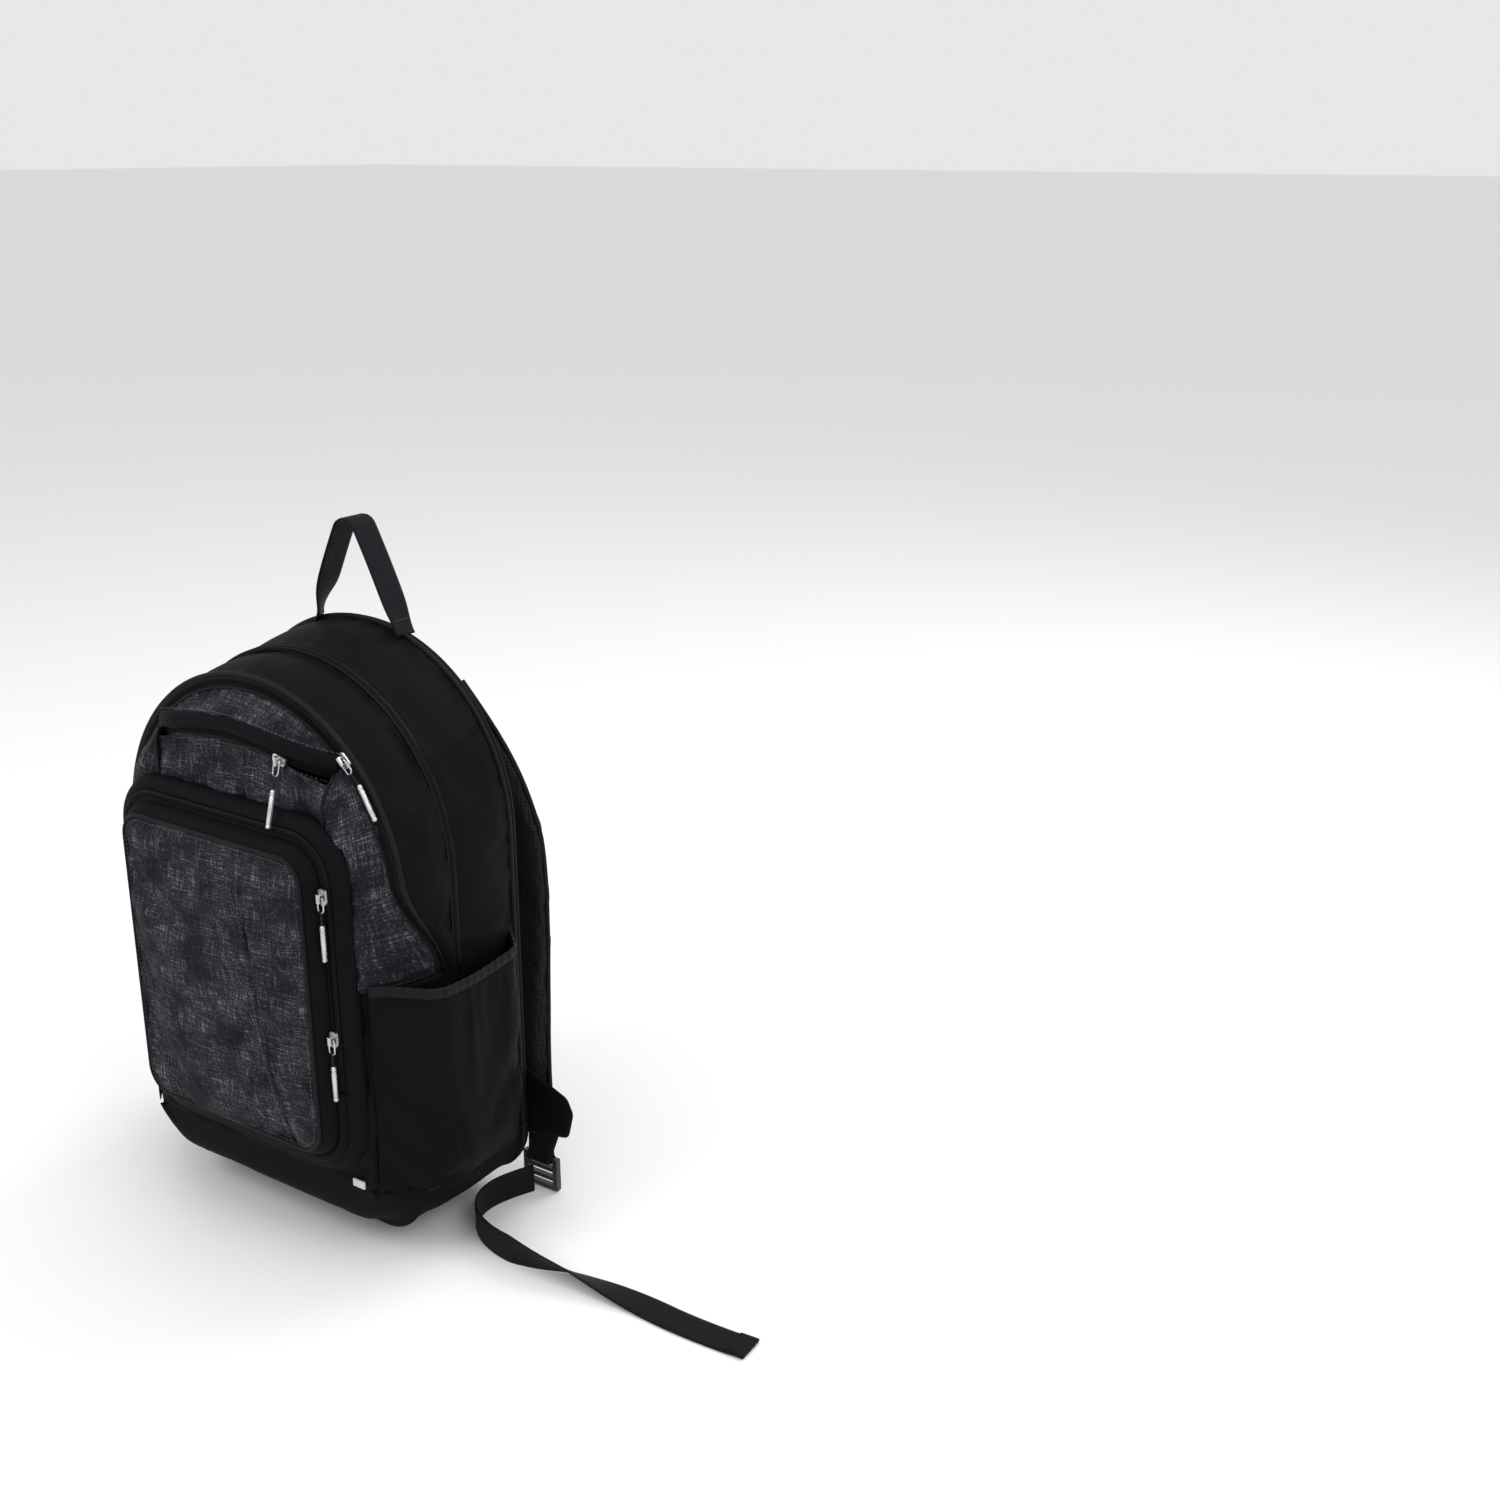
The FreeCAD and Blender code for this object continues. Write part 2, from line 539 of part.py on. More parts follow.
def pull_shape(lift, swing):
    """Return a pull hanging from the eye at the origin, lifted to -Y, its bar bent in its own plane."""
    half = PULL_TAB_WIDTH / 2
    edge = 2 * TAB_BAR
    tab = box((-half, -TAB_BAR, -PULL_TAB_LENGTH), (half, TAB_BAR, TAB_BAR))
    hole = box((-half + edge, -edge, -PULL_TAB_LENGTH + edge), (half - edge, edge, -TAB_BAR))
    tab = tab.cut(hole)
    cord_end = -PULL_TAB_LENGTH - PULL_CORD_LENGTH
    cord = rod((0, 0, cord_end), (0, 0, 1), PULL_CORD_LENGTH, PULL_CORD / 2)
    thick = PULL_BAR / 2
    bar = box((-thick, -thick, cord_end - PULL_BAR_LENGTH), (thick, thick, cord_end + thick))
    rims = [e for e in bar.Edges if abs(e.Vertexes[0].Z - e.Vertexes[1].Z) > UPRIGHT_RISE]
    bar = bar.makeFillet(PULL_BAR / 4, rims)
    bar.rotate(Vector(0, 0, cord_end), Vector(0, 1, 0), swing)
    pull = Part.makeCompound([tab, cord.fuse(bar)])
    pull.rotate(Vector(0, 0, 0), Vector(1, 0, 0), -lift)
    return pull


def placed(shape, origin, x_axis, z_axis):
    """Return a copy turned so that its X and Z lie along two square directions, then moved."""
    x_axis = Vector(*x_axis).normalize()
    z_axis = Vector(*z_axis).normalize()
    y_axis = z_axis.cross(x_axis)
    matrix = FreeCAD.Matrix(x_axis.x, y_axis.x, z_axis.x, origin[0], x_axis.y, y_axis.y, z_axis.y, origin[1],
                            x_axis.z, y_axis.z, z_axis.z, origin[2], 0, 0, 0, 1)
    return shape.transformed(matrix)


def add_front_slider(name, x, y_chain, z, travel, lean, lift, swing):
    """Make a slider on a chain that faces -Y and its pull, leaning from straight down by lean."""
    along = (math.cos(math.radians(travel)), 0, math.sin(math.radians(travel)))
    base = y_chain - SLIDER_GAP
    save(name + "_slider", placed(slider_shape(-90.0 + lean - travel), (x, base, z), along, (0, -1, 0)))
    pull = pull_shape(lift, swing)
    pull.rotate(Vector(0, 0, 0), Vector(0, -1, 0), lean)
    pull.translate(Vector(x, base - BAIL_EYE, z))
    save(name + "_pull", pull)
    print(f"  {name} eye at {x:.2f} {base - BAIL_EYE:.2f} {z:.2f}")


def add_side_slider(name, radius, angle, centre_z, y):
    """Make a slider on the dome's chain at this angle, and its pull along the chain."""
    out = (math.cos(math.radians(angle)), 0, math.sin(math.radians(angle)))
    down = (out[2], 0, -out[0]) if out[0] > 0 else (-out[2], 0, out[0])
    add_outward_slider(name, (out[0] * radius, y, centre_z + out[2] * radius), out, down)


def add_outward_slider(name, spot, out, down):
    """Make a slider whose outside faces out, and its pull lying along down."""
    save(name + "_slider", placed(slider_shape(0.0), spot, down, out))
    eye = [spot[i] + out[i] * BAIL_EYE for i in range(3)]
    pull = pull_shape(0.0, 0.0)
    up = [-c for c in down]
    save(name + "_pull", placed(pull, eye, (0, 1, 0), up))
    print(f"  {name} eye at {eye[0]:.2f} {eye[1]:.2f} {eye[2]:.2f}")


FRONT_SLIDER_ANGLE = 45.0
MAIN_SLIDER_ANGLE = 160.0
MAIN_CLEAR = 1.6
SIDE_SLIDER_Z = 260.0
UPPER_SLIDER_X = 60.0
POCKET_SLIDER_TOP = 240.0
POCKET_SLIDER_LOW = 355.0
FRONT_SWING = 15.0
UPPER_LIFT = 16.0


def build_sliders():
    """Make the six sliders and their pulls."""
    y_mid = -REAR_STRIP - ZIP_BAND / 2
    half, top = dome_at(y_mid)
    arch_z = top - half + CROWN_FLAT
    ride = half + ZIP_THICK - FABRIC + MAIN_CLEAR
    add_side_slider("main_top", ride, MAIN_SLIDER_ANGLE, arch_z, y_mid)
    add_outward_slider("main_side", (-ride, y_mid, -SIDE_SLIDER_Z), (-1, 0, 0), (0, 0, -1))
    front_half = dome_at(FRONT_Y)[0]
    front_radius = front_half - ZIP_BAND / 2 + SLIDER_OUTSET
    front_z = FRONT_TOP - front_half + CROWN_FLAT
    angle = math.radians(FRONT_SLIDER_ANGLE)
    add_front_slider("front", front_radius * math.cos(angle), FRONT_ZIP_Y, front_z + front_radius * math.sin(angle),
                     FRONT_SLIDER_ANGLE - 90.0, FRONT_SLIDER_ANGLE, 0.0, FRONT_SWING)
    upper_radius = UPPER_ZIP_RADIUS - ZIP_BAND / 2
    lean = math.degrees(math.asin(UPPER_SLIDER_X / upper_radius))
    upper_z = UPPER_ZIP_Z + math.sqrt(upper_radius ** 2 - UPPER_SLIDER_X ** 2)
    upper_y = FACE_Y + FABRIC - ZIP_THICK
    add_front_slider("upper", UPPER_SLIDER_X, upper_y, upper_z, -lean, 0.0, UPPER_LIFT, 0.0)
    pocket_x = POCKET_HALF - POCKET_STEP - ZIP_BAND / 2
    pocket_y = POCKET_MID_Y - ZIP_THICK
    add_front_slider("pocket_top", pocket_x, pocket_y, -POCKET_SLIDER_TOP, -90.0, 0.0, 0.0, 0.0)
    add_front_slider("pocket_low", pocket_x, pocket_y, -POCKET_SLIDER_LOW, -90.0, 0.0, 0.0, 0.0)
    print(f"  main arch centre z {arch_z:.2f} y {y_mid:.2f}; front arch centre z {front_z:.2f}; upper {UPPER_ZIP_Z:.2f}")


# ---- haul loop and harness -------------------------------------------------------------
# Strap sections from the yoke down: middle x, y and z, width and thickness.
STRAP_SECTIONS = [(52.0, 19.0, -118.0, 60.0, 11.0), (67.0, 33.0, -150.0, 64.0, 12.0),
                  (88.0, 48.0, -195.0, 66.0, 12.0), (106.0, 56.0, -250.0, 66.0, 12.0),
                  (114.0, 55.0, -310.0, 64.0, 12.0), (121.0, 48.0, -370.0, 58.0, 12.0),
                  (131.0, 37.0, -430.0, 48.0, 11.0), (143.0, 26.0, -475.0, 36.0, 8.0),
                  (LOCK_X, LOCK_Y, -497.0, 28.0, 6.0)]
WING_PROUD = 46.0
WING_TOP = 438.0
WING_BOTTOM = 506.0
LOCK_TOP = 529.0


def build_loop():
    """Make the haul loop, its flat faces to the sides, seated on the body's rear edge."""
    sink = WEB_THICK / 2
    foot = TOP - LOOP_BASE_WIDTH
    foot_x = LOOP_HALF + LOOP_BASE_WIDTH / 4
    bend = LOOP_BEND + sink
    drop = -foot - LOOP_BEND
    slope = math.atan2(drop, foot_x) + math.asin(bend / math.hypot(foot_x, drop))
    apex = -LOOP_BEND + bend / math.cos(slope)
    points = [(-foot_x, foot), (0.0, apex), (foot_x, foot)]
    wire = ribbon_wire(points, [bend], WEB_THICK, to_xz(WEBBING / 2 + WEB_THICK))
    band = prism(wire, Vector(0, -WEBBING, 0))
    body = panel(HALF, TOP, BOTTOM, ARCH, BASE_CORNER, BACK_Y + WEBBING, 2 * WEBBING)
    save("haul_loop", band.cut(body))


def build_strap(side, name):
    """Make one shoulder strap with the webbing that holds its ladder lock."""
    wires = []
    for x, y, z, width, thick in STRAP_SECTIONS:
        low, high = (x - width / 2, y - thick / 2), (x + width / 2, y + thick / 2)
        spots = [Vector(u, v, z) for u, v in (low, (high[0], low[1]), high, (low[0], high[1]))]
        wires.append(Part.makePolygon(spots + spots[:1]))
    strap = loft(wires)
    end = STRAP_SECTIONS[-1]
    ring_inner = LOCK_BAR + LOOP_CLEAR
    ring_outer = ring_inner + WEB_THICK
    half = WEBBING / 2
    eye = rod((LOCK_X - half, LOCK_Y, -LOCK_TOP), (1, 0, 0), WEBBING, ring_outer)
    stem = box((LOCK_X - half, LOCK_Y - WEB_THICK, -LOCK_TOP), (LOCK_X + half, LOCK_Y + WEB_THICK, end[2]))
    bore = rod((LOCK_X - LOCK_WIDTH, LOCK_Y, -LOCK_TOP), (1, 0, 0), 2 * LOCK_WIDTH, ring_inner)
    webbing = eye.fuse(stem).cut(bore).removeSplitter()
    for node, shape in (("shoulder_strap_", strap), ("strap_end_webbing_", webbing)):
        save(node + name, shape if side > 0 else mirror(shape))


def build_lock(side, name):
    """Make one ladder lock: a round top bar, two side rails and three flat bars."""
    half = LOCK_WIDTH / 2
    rail = (LOCK_WIDTH - WEBBING - 2 * LOOP_CLEAR - RAIL_INSET) / 2
    top_bar = rod((LOCK_X - half, LOCK_Y, -LOCK_TOP), (1, 0, 0), LOCK_WIDTH, LOCK_BAR)
    low = -LOCK_TOP + LOCK_BAR - LOCK_HEIGHT
    y0, y1 = LOCK_Y - LOCK_THICK / 2, LOCK_Y + LOCK_THICK / 2
    rails = []
    for x in (LOCK_X - half, LOCK_X + half - rail):
        rails.append(box((x, y0, low), (x + rail, y1, -LOCK_TOP + LOCK_BAR)))
    bars = []
    bar = (LOCK_HEIGHT - 2 * LOCK_BAR - 3 * LOCK_SLOT) / 3
    z = low
    for _ in range(3):
        bars.append(box((LOCK_X - half, y0, z), (LOCK_X + half, y1, z + bar)))
        z += bar + LOCK_SLOT
    lock = top_bar.fuse(rails + bars).removeSplitter()
    save("ladder_lock_" + name, lock if side > 0 else mirror(lock))


def build_wing(side, name):
    """Make one wing tab at the base's rear corner and the webbing from it to the ladder lock."""
    outer = HALF + WING_PROUD
    middle = -(WING_TOP + WING_BOTTOM) / 2
    inner = HALF - WEBBING / 2
    points = [(inner, -WING_TOP), (inner, -WING_BOTTOM), (outer - WEBBING / 4, middle - WEBBING),
              (outer, middle), (outer - WEBBING / 4, middle + WEBBING / 2)]
    wing_wire = outline_wire(points, [SKIN, SKIN] + [WING_ROUND] * 3, to_xz(BACK_Y + 2 * SKIN))
    wing = prism(wing_wire, Vector(0, -2 * SKIN, 0))
    rise = Vector(HALF + WING_PROUD / 2, 0, middle)
    foot = Vector(LOCK_X, 0, -LOCK_TOP - LOCK_SLOT / 3)
    half = Vector(WEBBING / 2, 0, 0)
    y = BACK_Y + 2 * SKIN + WEB_THICK
    spots = [rise - half, rise + half, foot + half, foot - half]
    spots = [Vector(p.x, y, p.z) for p in spots]
    web = Part.Face(Part.makePolygon(spots + spots[:1])).extrude(Vector(0, -WEB_THICK, 0))
    for node, shape in (("wing_tab_", wing), ("adjuster_webbing_", web)):
        save(node + name, shape if side > 0 else mirror(shape))


# The webbing tails leave the ladder locks, stand on edge, then lie flat on the floor.
TAIL_RIGHT = [(LOCK_X + x, y) for x, y in ((0.0, 9.0), (-10.0, -12.0), (-14.0, -38.0), (-3.0, -63.0),
                                           (30.0, -80.0), (72.0, -82.0), (110.0, -72.0), (166.0, -68.0),
                                           (220.0, -71.0), (258.0, -68.0))]
TAIL_LEFT = [(x - LOCK_X, y) for x, y in ((0.0, 9.0), (-6.0, -12.0), (-28.0, -22.0), (-52.0, -8.0),
                                          (-56.0, 28.0), (-34.0, 64.0), (8.0, 84.0), (56.0, 88.0),
                                          (108.0, 84.0), (158.0, 87.5))]
TAIL_EDGE_POINTS = 7
FOLD_LENGTH = 13.0


def arc_radii(points):
    """Return each bend's radius: a share of its shorter run over the tangent of half the turn."""
    radii = []
    for i in range(1, len(points) - 1):
        a, p, b = points[i - 1], points[i], points[i + 1]
        run_in, run_out = math.dist(a, p), math.dist(p, b)
        turn = math.atan2(b[1] - p[1], b[0] - p[0]) - math.atan2(p[1] - a[1], p[0] - a[0])
        turn = abs((turn + math.pi) % (2 * math.pi) - math.pi)
        radii.append(BEND_SHARE * min(run_in, run_out) / math.tan(turn / 2))
    return radii


def build_tail(points, name):
    """Make one webbing tail along its route, first on edge and then flat, and its folded end."""
    radii = arc_radii(points)
    split = TAIL_EDGE_POINTS - 1
    middle = ((points[split - 1][0] + points[split][0]) / 2, (points[split - 1][1] + points[split][1]) / 2)
    edge_wire = ribbon_wire(points[:split] + [middle], radii[:split - 1], WEB_THICK, to_xy(FLOOR))
    upright_part = prism(edge_wire, Vector(0, 0, WEBBING))
    flat_wire = ribbon_wire([middle] + points[split:], radii[split - 1:], WEBBING, to_xy(FLOOR))
    flat_part = prism(flat_wire, Vector(0, 0, WEB_THICK))
    tail = upright_part.fuse(flat_part)
    save("webbing_tail_" + name, tail)
    last, before = points[-1], points[-2]
    run = math.dist(last, before)
    dx, dy = (last[0] - before[0]) / run, (last[1] - before[1]) / run
    tip = (last[0] + dx * FOLD_LENGTH, last[1] + dy * FOLD_LENGTH)
    fold = prism(ribbon_wire([last, tip], [], WEBBING, to_xy(FLOOR)), Vector(0, 0, 2 * WEB_THICK))
    save("tail_fold_" + name, fold)
    runs = [math.dist(points[i], points[i + 1]) for i in range(len(points) - 1)]
    saved = 0.0
    for i, radius in enumerate(radii):
        reach = BEND_SHARE * min(runs[i], runs[i + 1])
        half_turn = math.atan2(reach, radius)
        saved += 2 * reach - radius * 2 * half_turn
    length = sum(runs) - saved
    print(f"  tail {name} length {length:.1f} volume {tail.Volume:.0f} section x length "
          f"{length * WEBBING * WEB_THICK:.0f} radii {[round(r, 1) for r in radii]}")


build_back()
build_gusset()
build_front_panels()
build_front_sides()
build_pocket()
build_side_pockets()
build_sliders()
build_loop()
for sign, label in ((1, "right"), (-1, "left")):
    build_strap(sign, label)
    build_lock(sign, label)
    build_wing(sign, label)
build_tail(TAIL_RIGHT, "right")
build_tail(TAIL_LEFT, "left")
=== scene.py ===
"""The looks of a domed school backpack that hangs by its haul loop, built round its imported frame.

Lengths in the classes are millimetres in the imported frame's axes: -Y is the front, +X the viewer's
right and +Z up. Meshes are written in metres.
"""
import json
import logging
import math
from dataclasses import dataclass
from enum import Enum
from typing import Callable, Optional, Sequence

import bpy
import numpy as np
from mathutils import Matrix, Vector, noise

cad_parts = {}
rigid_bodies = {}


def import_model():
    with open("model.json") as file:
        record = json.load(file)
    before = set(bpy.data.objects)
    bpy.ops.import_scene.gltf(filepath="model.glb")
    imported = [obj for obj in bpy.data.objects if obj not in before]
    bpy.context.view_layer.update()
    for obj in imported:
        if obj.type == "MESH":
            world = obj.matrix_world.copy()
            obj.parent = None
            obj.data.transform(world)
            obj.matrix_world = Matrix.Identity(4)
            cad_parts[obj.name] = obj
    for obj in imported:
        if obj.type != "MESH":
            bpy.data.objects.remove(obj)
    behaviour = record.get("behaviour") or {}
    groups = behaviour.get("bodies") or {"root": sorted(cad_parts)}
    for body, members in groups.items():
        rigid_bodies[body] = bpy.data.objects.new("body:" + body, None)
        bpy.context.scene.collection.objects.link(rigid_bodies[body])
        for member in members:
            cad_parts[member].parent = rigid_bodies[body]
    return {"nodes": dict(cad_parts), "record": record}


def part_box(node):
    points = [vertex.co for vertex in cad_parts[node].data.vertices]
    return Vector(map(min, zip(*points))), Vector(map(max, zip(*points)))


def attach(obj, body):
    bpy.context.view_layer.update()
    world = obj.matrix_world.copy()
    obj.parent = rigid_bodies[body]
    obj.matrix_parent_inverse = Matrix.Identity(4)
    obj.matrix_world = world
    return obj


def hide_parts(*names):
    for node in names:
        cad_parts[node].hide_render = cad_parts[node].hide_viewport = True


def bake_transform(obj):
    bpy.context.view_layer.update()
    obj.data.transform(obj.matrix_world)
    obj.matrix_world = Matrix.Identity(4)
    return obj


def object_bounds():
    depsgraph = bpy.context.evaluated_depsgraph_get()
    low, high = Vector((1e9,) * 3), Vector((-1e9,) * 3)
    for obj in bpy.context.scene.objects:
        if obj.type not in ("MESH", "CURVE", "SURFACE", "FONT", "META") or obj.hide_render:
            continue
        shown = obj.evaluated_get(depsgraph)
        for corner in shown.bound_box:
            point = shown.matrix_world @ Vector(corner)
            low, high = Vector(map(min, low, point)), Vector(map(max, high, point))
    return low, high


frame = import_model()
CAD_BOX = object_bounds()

LOG = logging.getLogger("backpack")
MM = 0.001
TINY = 1e-9
Points = np.ndarray
RGB = Spot = tuple[float, float, float]
Face = tuple[int, ...]
Piece, Node, Socket, Tree = bpy.types.Object, bpy.types.Node, bpy.types.NodeSocket, bpy.types.NodeTree
FORWARD, BACKWARD, UPWARD, RIGHTWARD = (0.0, -1.0, 0.0), (0.0, 1.0, 0.0), (0.0, 0.0, 1.0), (1.0, 0.0, 0.0)
INSIDE = (slice(1, -1), slice(1, -1))


class Side(Enum):
    """The two sides of the bag, with the sign of X."""

    RIGHT = 1
    LEFT = -1

    @property
    def label(self) -> str:
        """Return the side's name as the nodes use it."""
        return self.name.lower()


def cad(node: str) -> tuple[Points, Points]:
    """Return a node's lowest and highest corners in millimetres."""
    low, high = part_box(node)
    return np.array(low) / MM, np.array(high) / MM


def mesh_points(piece: Piece) -> Points:
    """Return a piece's mesh points in metres."""
    return np.array([vertex.co[:] for vertex in piece.data.vertices])


def node_points(node: str) -> Points:
    """Return a node's mesh points in millimetres."""
    return mesh_points(frame["nodes"][node]) / MM


def joint_place(name: str) -> tuple[Points, Points]:
    """Return a joint's place in millimetres and its axis.

    Args:
        name: the joint's name.

    Returns:
        The place and the axis.
    """
    for joint in frame["record"]["behaviour"]["joints"]:
        if joint["name"] == name:
            return np.array(joint["pos_m"]) / MM, np.array(joint["axis"], dtype=float)
    raise KeyError(name)


# Paths
def rounded(points: Sequence[Sequence[float]], radii: Sequence[float], closed: bool = False,
            steps: int = 16) -> Points:
    """Round the corners of a flat path.

    Args:
        points: the path's corners.
        radii: one radius a corner; an open path's two ends have none.
        closed: whether the path closes on itself.
        steps: short runs in each corner.

    Returns:
        The rounded path's points.
    """
    spots = [np.array(point, dtype=float) for point in points]
    count = len(spots)
    rounds: list[Points] = []
    for order, i in enumerate(range(count) if closed else range(1, count - 1)):
        before, at, after = spots[i - 1], spots[i], spots[(i + 1) % count]
        to_before = (before - at) / np.linalg.norm(before - at)
        to_after = (after - at) / np.linalg.norm(after - at)
        half = math.acos(max(-1.0, min(1.0, float(to_before @ to_after)))) / 2
        middle = to_before + to_after
        middle = middle / np.linalg.norm(middle)
        centre = at + middle * radii[order] / math.sin(half)
        reach = radii[order] / math.tan(half)
        start, end = at + to_before * reach - centre, at + to_after * reach - centre
        turn = math.pi - 2 * half
        for k in range(steps + 1):
            a, b = math.sin(turn * (1 - k / steps)), math.sin(turn * k / steps)
            rounds.append(centre + (start * a + end * b) / math.sin(turn))
    if closed:
        rounds.append(rounds[0])
        return np.array(rounds)
    return np.array([spots[0]] + rounds + [spots[-1]])


def run_along(path: Points) -> Points:
    """Return how far along a path each of its points is."""
    return np.concatenate([[0.0], np.cumsum(np.linalg.norm(np.diff(path, axis=0), axis=1))])


def resample(path: Points, count: int) -> Points:
    """Space points evenly along a path.

    Args:
        path: the path's own points.
        count: how many points are wanted.

    Returns:
        The new points, the path's two ends among them.
    """
    run = run_along(path)
    want = np.linspace(0, 1, count) * run[-1]
    return np.stack([np.interp(want, run, path[:, k]) for k in range(path.shape[1])], axis=-1)


def steady(direction: Sequence[float], path: Points) -> Points:
    """Return one direction repeated for each point of a path."""
    return np.tile(np.array(direction), (len(path), 1))


def unit(ways: Points) -> Points:
    """Return each of several directions at length one."""
    return ways / np.linalg.norm(ways, axis=1, keepdims=True)


def arch(half: float, top: float, leg: float, count: int) -> Points:
    """Return evenly spaced (x, z) points over a round-topped arch, from its left foot to its right."""
    path = rounded([(-half, leg), (-half, top), (half, top), (half, leg)], [half - 0.01] * 2, steps=48)
    return resample(path, count)


def trough(half: float, low: float, high: float, radius: float, count: int) -> Points:
    """Return evenly spaced (x, z) points down the left side, along the bottom and up the right side."""
    return resample(rounded([(-half, high), (-half, low), (half, low), (half, high)], [radius] * 2), count)


def lift(flat: Points, y: float | Points) -> Points:
    """Return (x, z) points as (x, y, z) points."""
    return np.stack([flat[:, 0], np.broadcast_to(y, flat[:, 0].shape), flat[:, 1]], axis=-1)


def tangents(path: Points) -> Points:
    """Return the unit direction of a path at each of its points."""
    ways = np.gradient(path, axis=0)
    return ways / np.maximum(np.linalg.norm(ways, axis=1, keepdims=True), TINY)


def distance_to(points: Points, path: Points) -> Points:
    """Return how far each (x, z) point is from a dense path."""
    return np.min(np.linalg.norm(points[:, None, :] - path[None, :, :], axis=2), axis=1)


def ripple(points: Points, size: float, scale: float, seed: float) -> Points:
    """Return a smooth uneven height for each point, up to size either way."""
    place = Vector((seed, 2 * seed, -seed))
    return np.array([size * noise.noise(Vector(p) / scale + place) for p in points])


def ruffle(grid: Points, axis: int, size: float, scale: float, seed: float,
           part: tuple[slice, slice] = INSIDE, fade: float | Points = 1.0) -> None:
    """Make a grid of points uneven, in place, as slack cloth is.

    Args:
        grid: the points, rows along u and columns along v.
        axis: the axis the points move along: 0 for X, 1 for Y.
        size: the most a point moves.
        scale: how wide the waves are.
        seed: where in the noise the piece lies.
        part: the rows and columns that move.
        fade: a share of the move for each column.
    """
    moving = grid[part]
    moving[..., axis] += fade * ripple(moving.reshape(-1, 3), size, scale, seed).reshape(moving.shape[:2])


# Meshes
def deselect() -> None:
    """Leave nothing selected."""
    for other in bpy.context.view_layer.objects:
        other.select_set(False)


def activate(piece: Piece) -> None:
    """Select one piece alone and make it active.

    Args:
        piece: the piece.
    """
    deselect()
    piece.select_set(True)
    bpy.context.view_layer.objects.active = piece


def apply_modifiers(piece: Piece) -> None:
    """Apply all of a piece's modifiers in order."""
    activate(piece)
    for modifier in list(piece.modifiers):
        bpy.ops.object.modifier_apply(modifier=modifier.name)


def mend(piece: Piece, merge: float = 0.0, fill: bool = False, outward: bool = True) -> Piece:
    """Close a mesh's doubled points and open ends, and turn its faces outwards.

    Args:
        piece: the piece to mend.
        merge: how near two points are before they become one, in millimetres; 0 merges none.
        fill: whether each open end gets a face.
        outward: whether the faces are turned outwards.

    Returns:
        The same piece.
    """
    activate(piece)
    bpy.ops.object.mode_set(mode="EDIT")
    bpy.ops.mesh.select_all(action="SELECT")
    if merge:
        bpy.ops.mesh.remove_doubles(threshold=merge * MM)
    if fill:
        bpy.ops.mesh.select_all(action="DESELECT")
        bpy.ops.mesh.select_non_manifold()
        bpy.ops.mesh.edge_face_add()
        bpy.ops.mesh.select_all(action="SELECT")
    if outward:
        bpy.ops.mesh.normals_make_consistent(inside=False)
    bpy.ops.object.mode_set(mode="OBJECT")
    return piece


def add_mesh(name: str, points: Points, faces: Sequence[Sequence[int]], uvs: Optional[Points] = None,
             slots: Optional[Sequence[int]] = None) -> Piece:
    """Make an object from points in millimetres.

    Args:
        name: the piece's name.
        points: the mesh's points.
        faces: point numbers of each face, anticlockwise from outside.
        uvs: a place on the cloth for each point, in metres.
        slots: the material slot of each face.

    Returns:
        The new object.
    """
    mesh = bpy.data.meshes.new(name)
    mesh.from_pydata((np.asarray(points) * MM).tolist(), [], [list(face) for face in faces])
    layer = mesh.uv_layers.new(name="cloth")
    if uvs is not None:
        order = np.empty(len(mesh.loops), dtype=np.int64)
        mesh.loops.foreach_get("vertex_index", order)
        layer.data.foreach_set("uv", np.asarray(uvs)[order].ravel())
    if slots is not None:
        mesh.polygons.foreach_set("material_index", list(slots))
    mesh.polygons.foreach_set("use_smooth", [True] * len(mesh.polygons))
    piece = bpy.data.objects.new(name, mesh)
    bpy.context.scene.collection.objects.link(piece)
    return piece


@dataclass
class Patch:
    """A piece of cloth as a grid of points, and how it is thickened and creased.

    Attributes:
        points: the grid's points, rows along u and columns along v.
        away: a point behind the cloth, which its outside faces away from.
        round_u: whether the grid closes on itself along u.
    """

    points: Points
    away: Spot
    round_u: bool = False

    def faces(self) -> list[tuple[int, int, int, int]]:
        """Return the grid's faces, turned so that they look away from the point behind.

        Returns:
            Each face's four point numbers.
        """
        rows, columns = self.points.shape[:2]
        last = rows if self.round_u else rows - 1
        quads = []
        for i in range(last):
            near, far = i * columns, (i + 1) % rows * columns
            quads += [(near + j, near + j + 1, far + j + 1, far + j) for j in range(columns - 1)]
        flat = self.points.reshape(-1, 3)
        corner = flat[np.array(quads)]
        normal = np.cross(corner[:, 2] - corner[:, 0], corner[:, 3] - corner[:, 1])
        outward = corner.mean(axis=1) - np.array(self.away)
        if np.sum(normal * outward) < 0:
            quads = [quad[::-1] for quad in quads]
        return quads

    def places(self) -> Points:
        """Return each point's place on the cloth in metres.

        Returns:
            The places, in the points' order.
        """
        rows, columns = self.points.shape[:2]
        u, v = run_along(self.points[:, columns // 2]), run_along(self.points[rows // 2])
        return np.stack([np.repeat(u, columns), np.tile(v, rows)], axis=-1) * MM

    def build(self, name: str) -> Piece:
        """Return the patch as a sheet of faces."""
        return add_mesh(name, self.points.reshape(-1, 3), self.faces(), self.places())


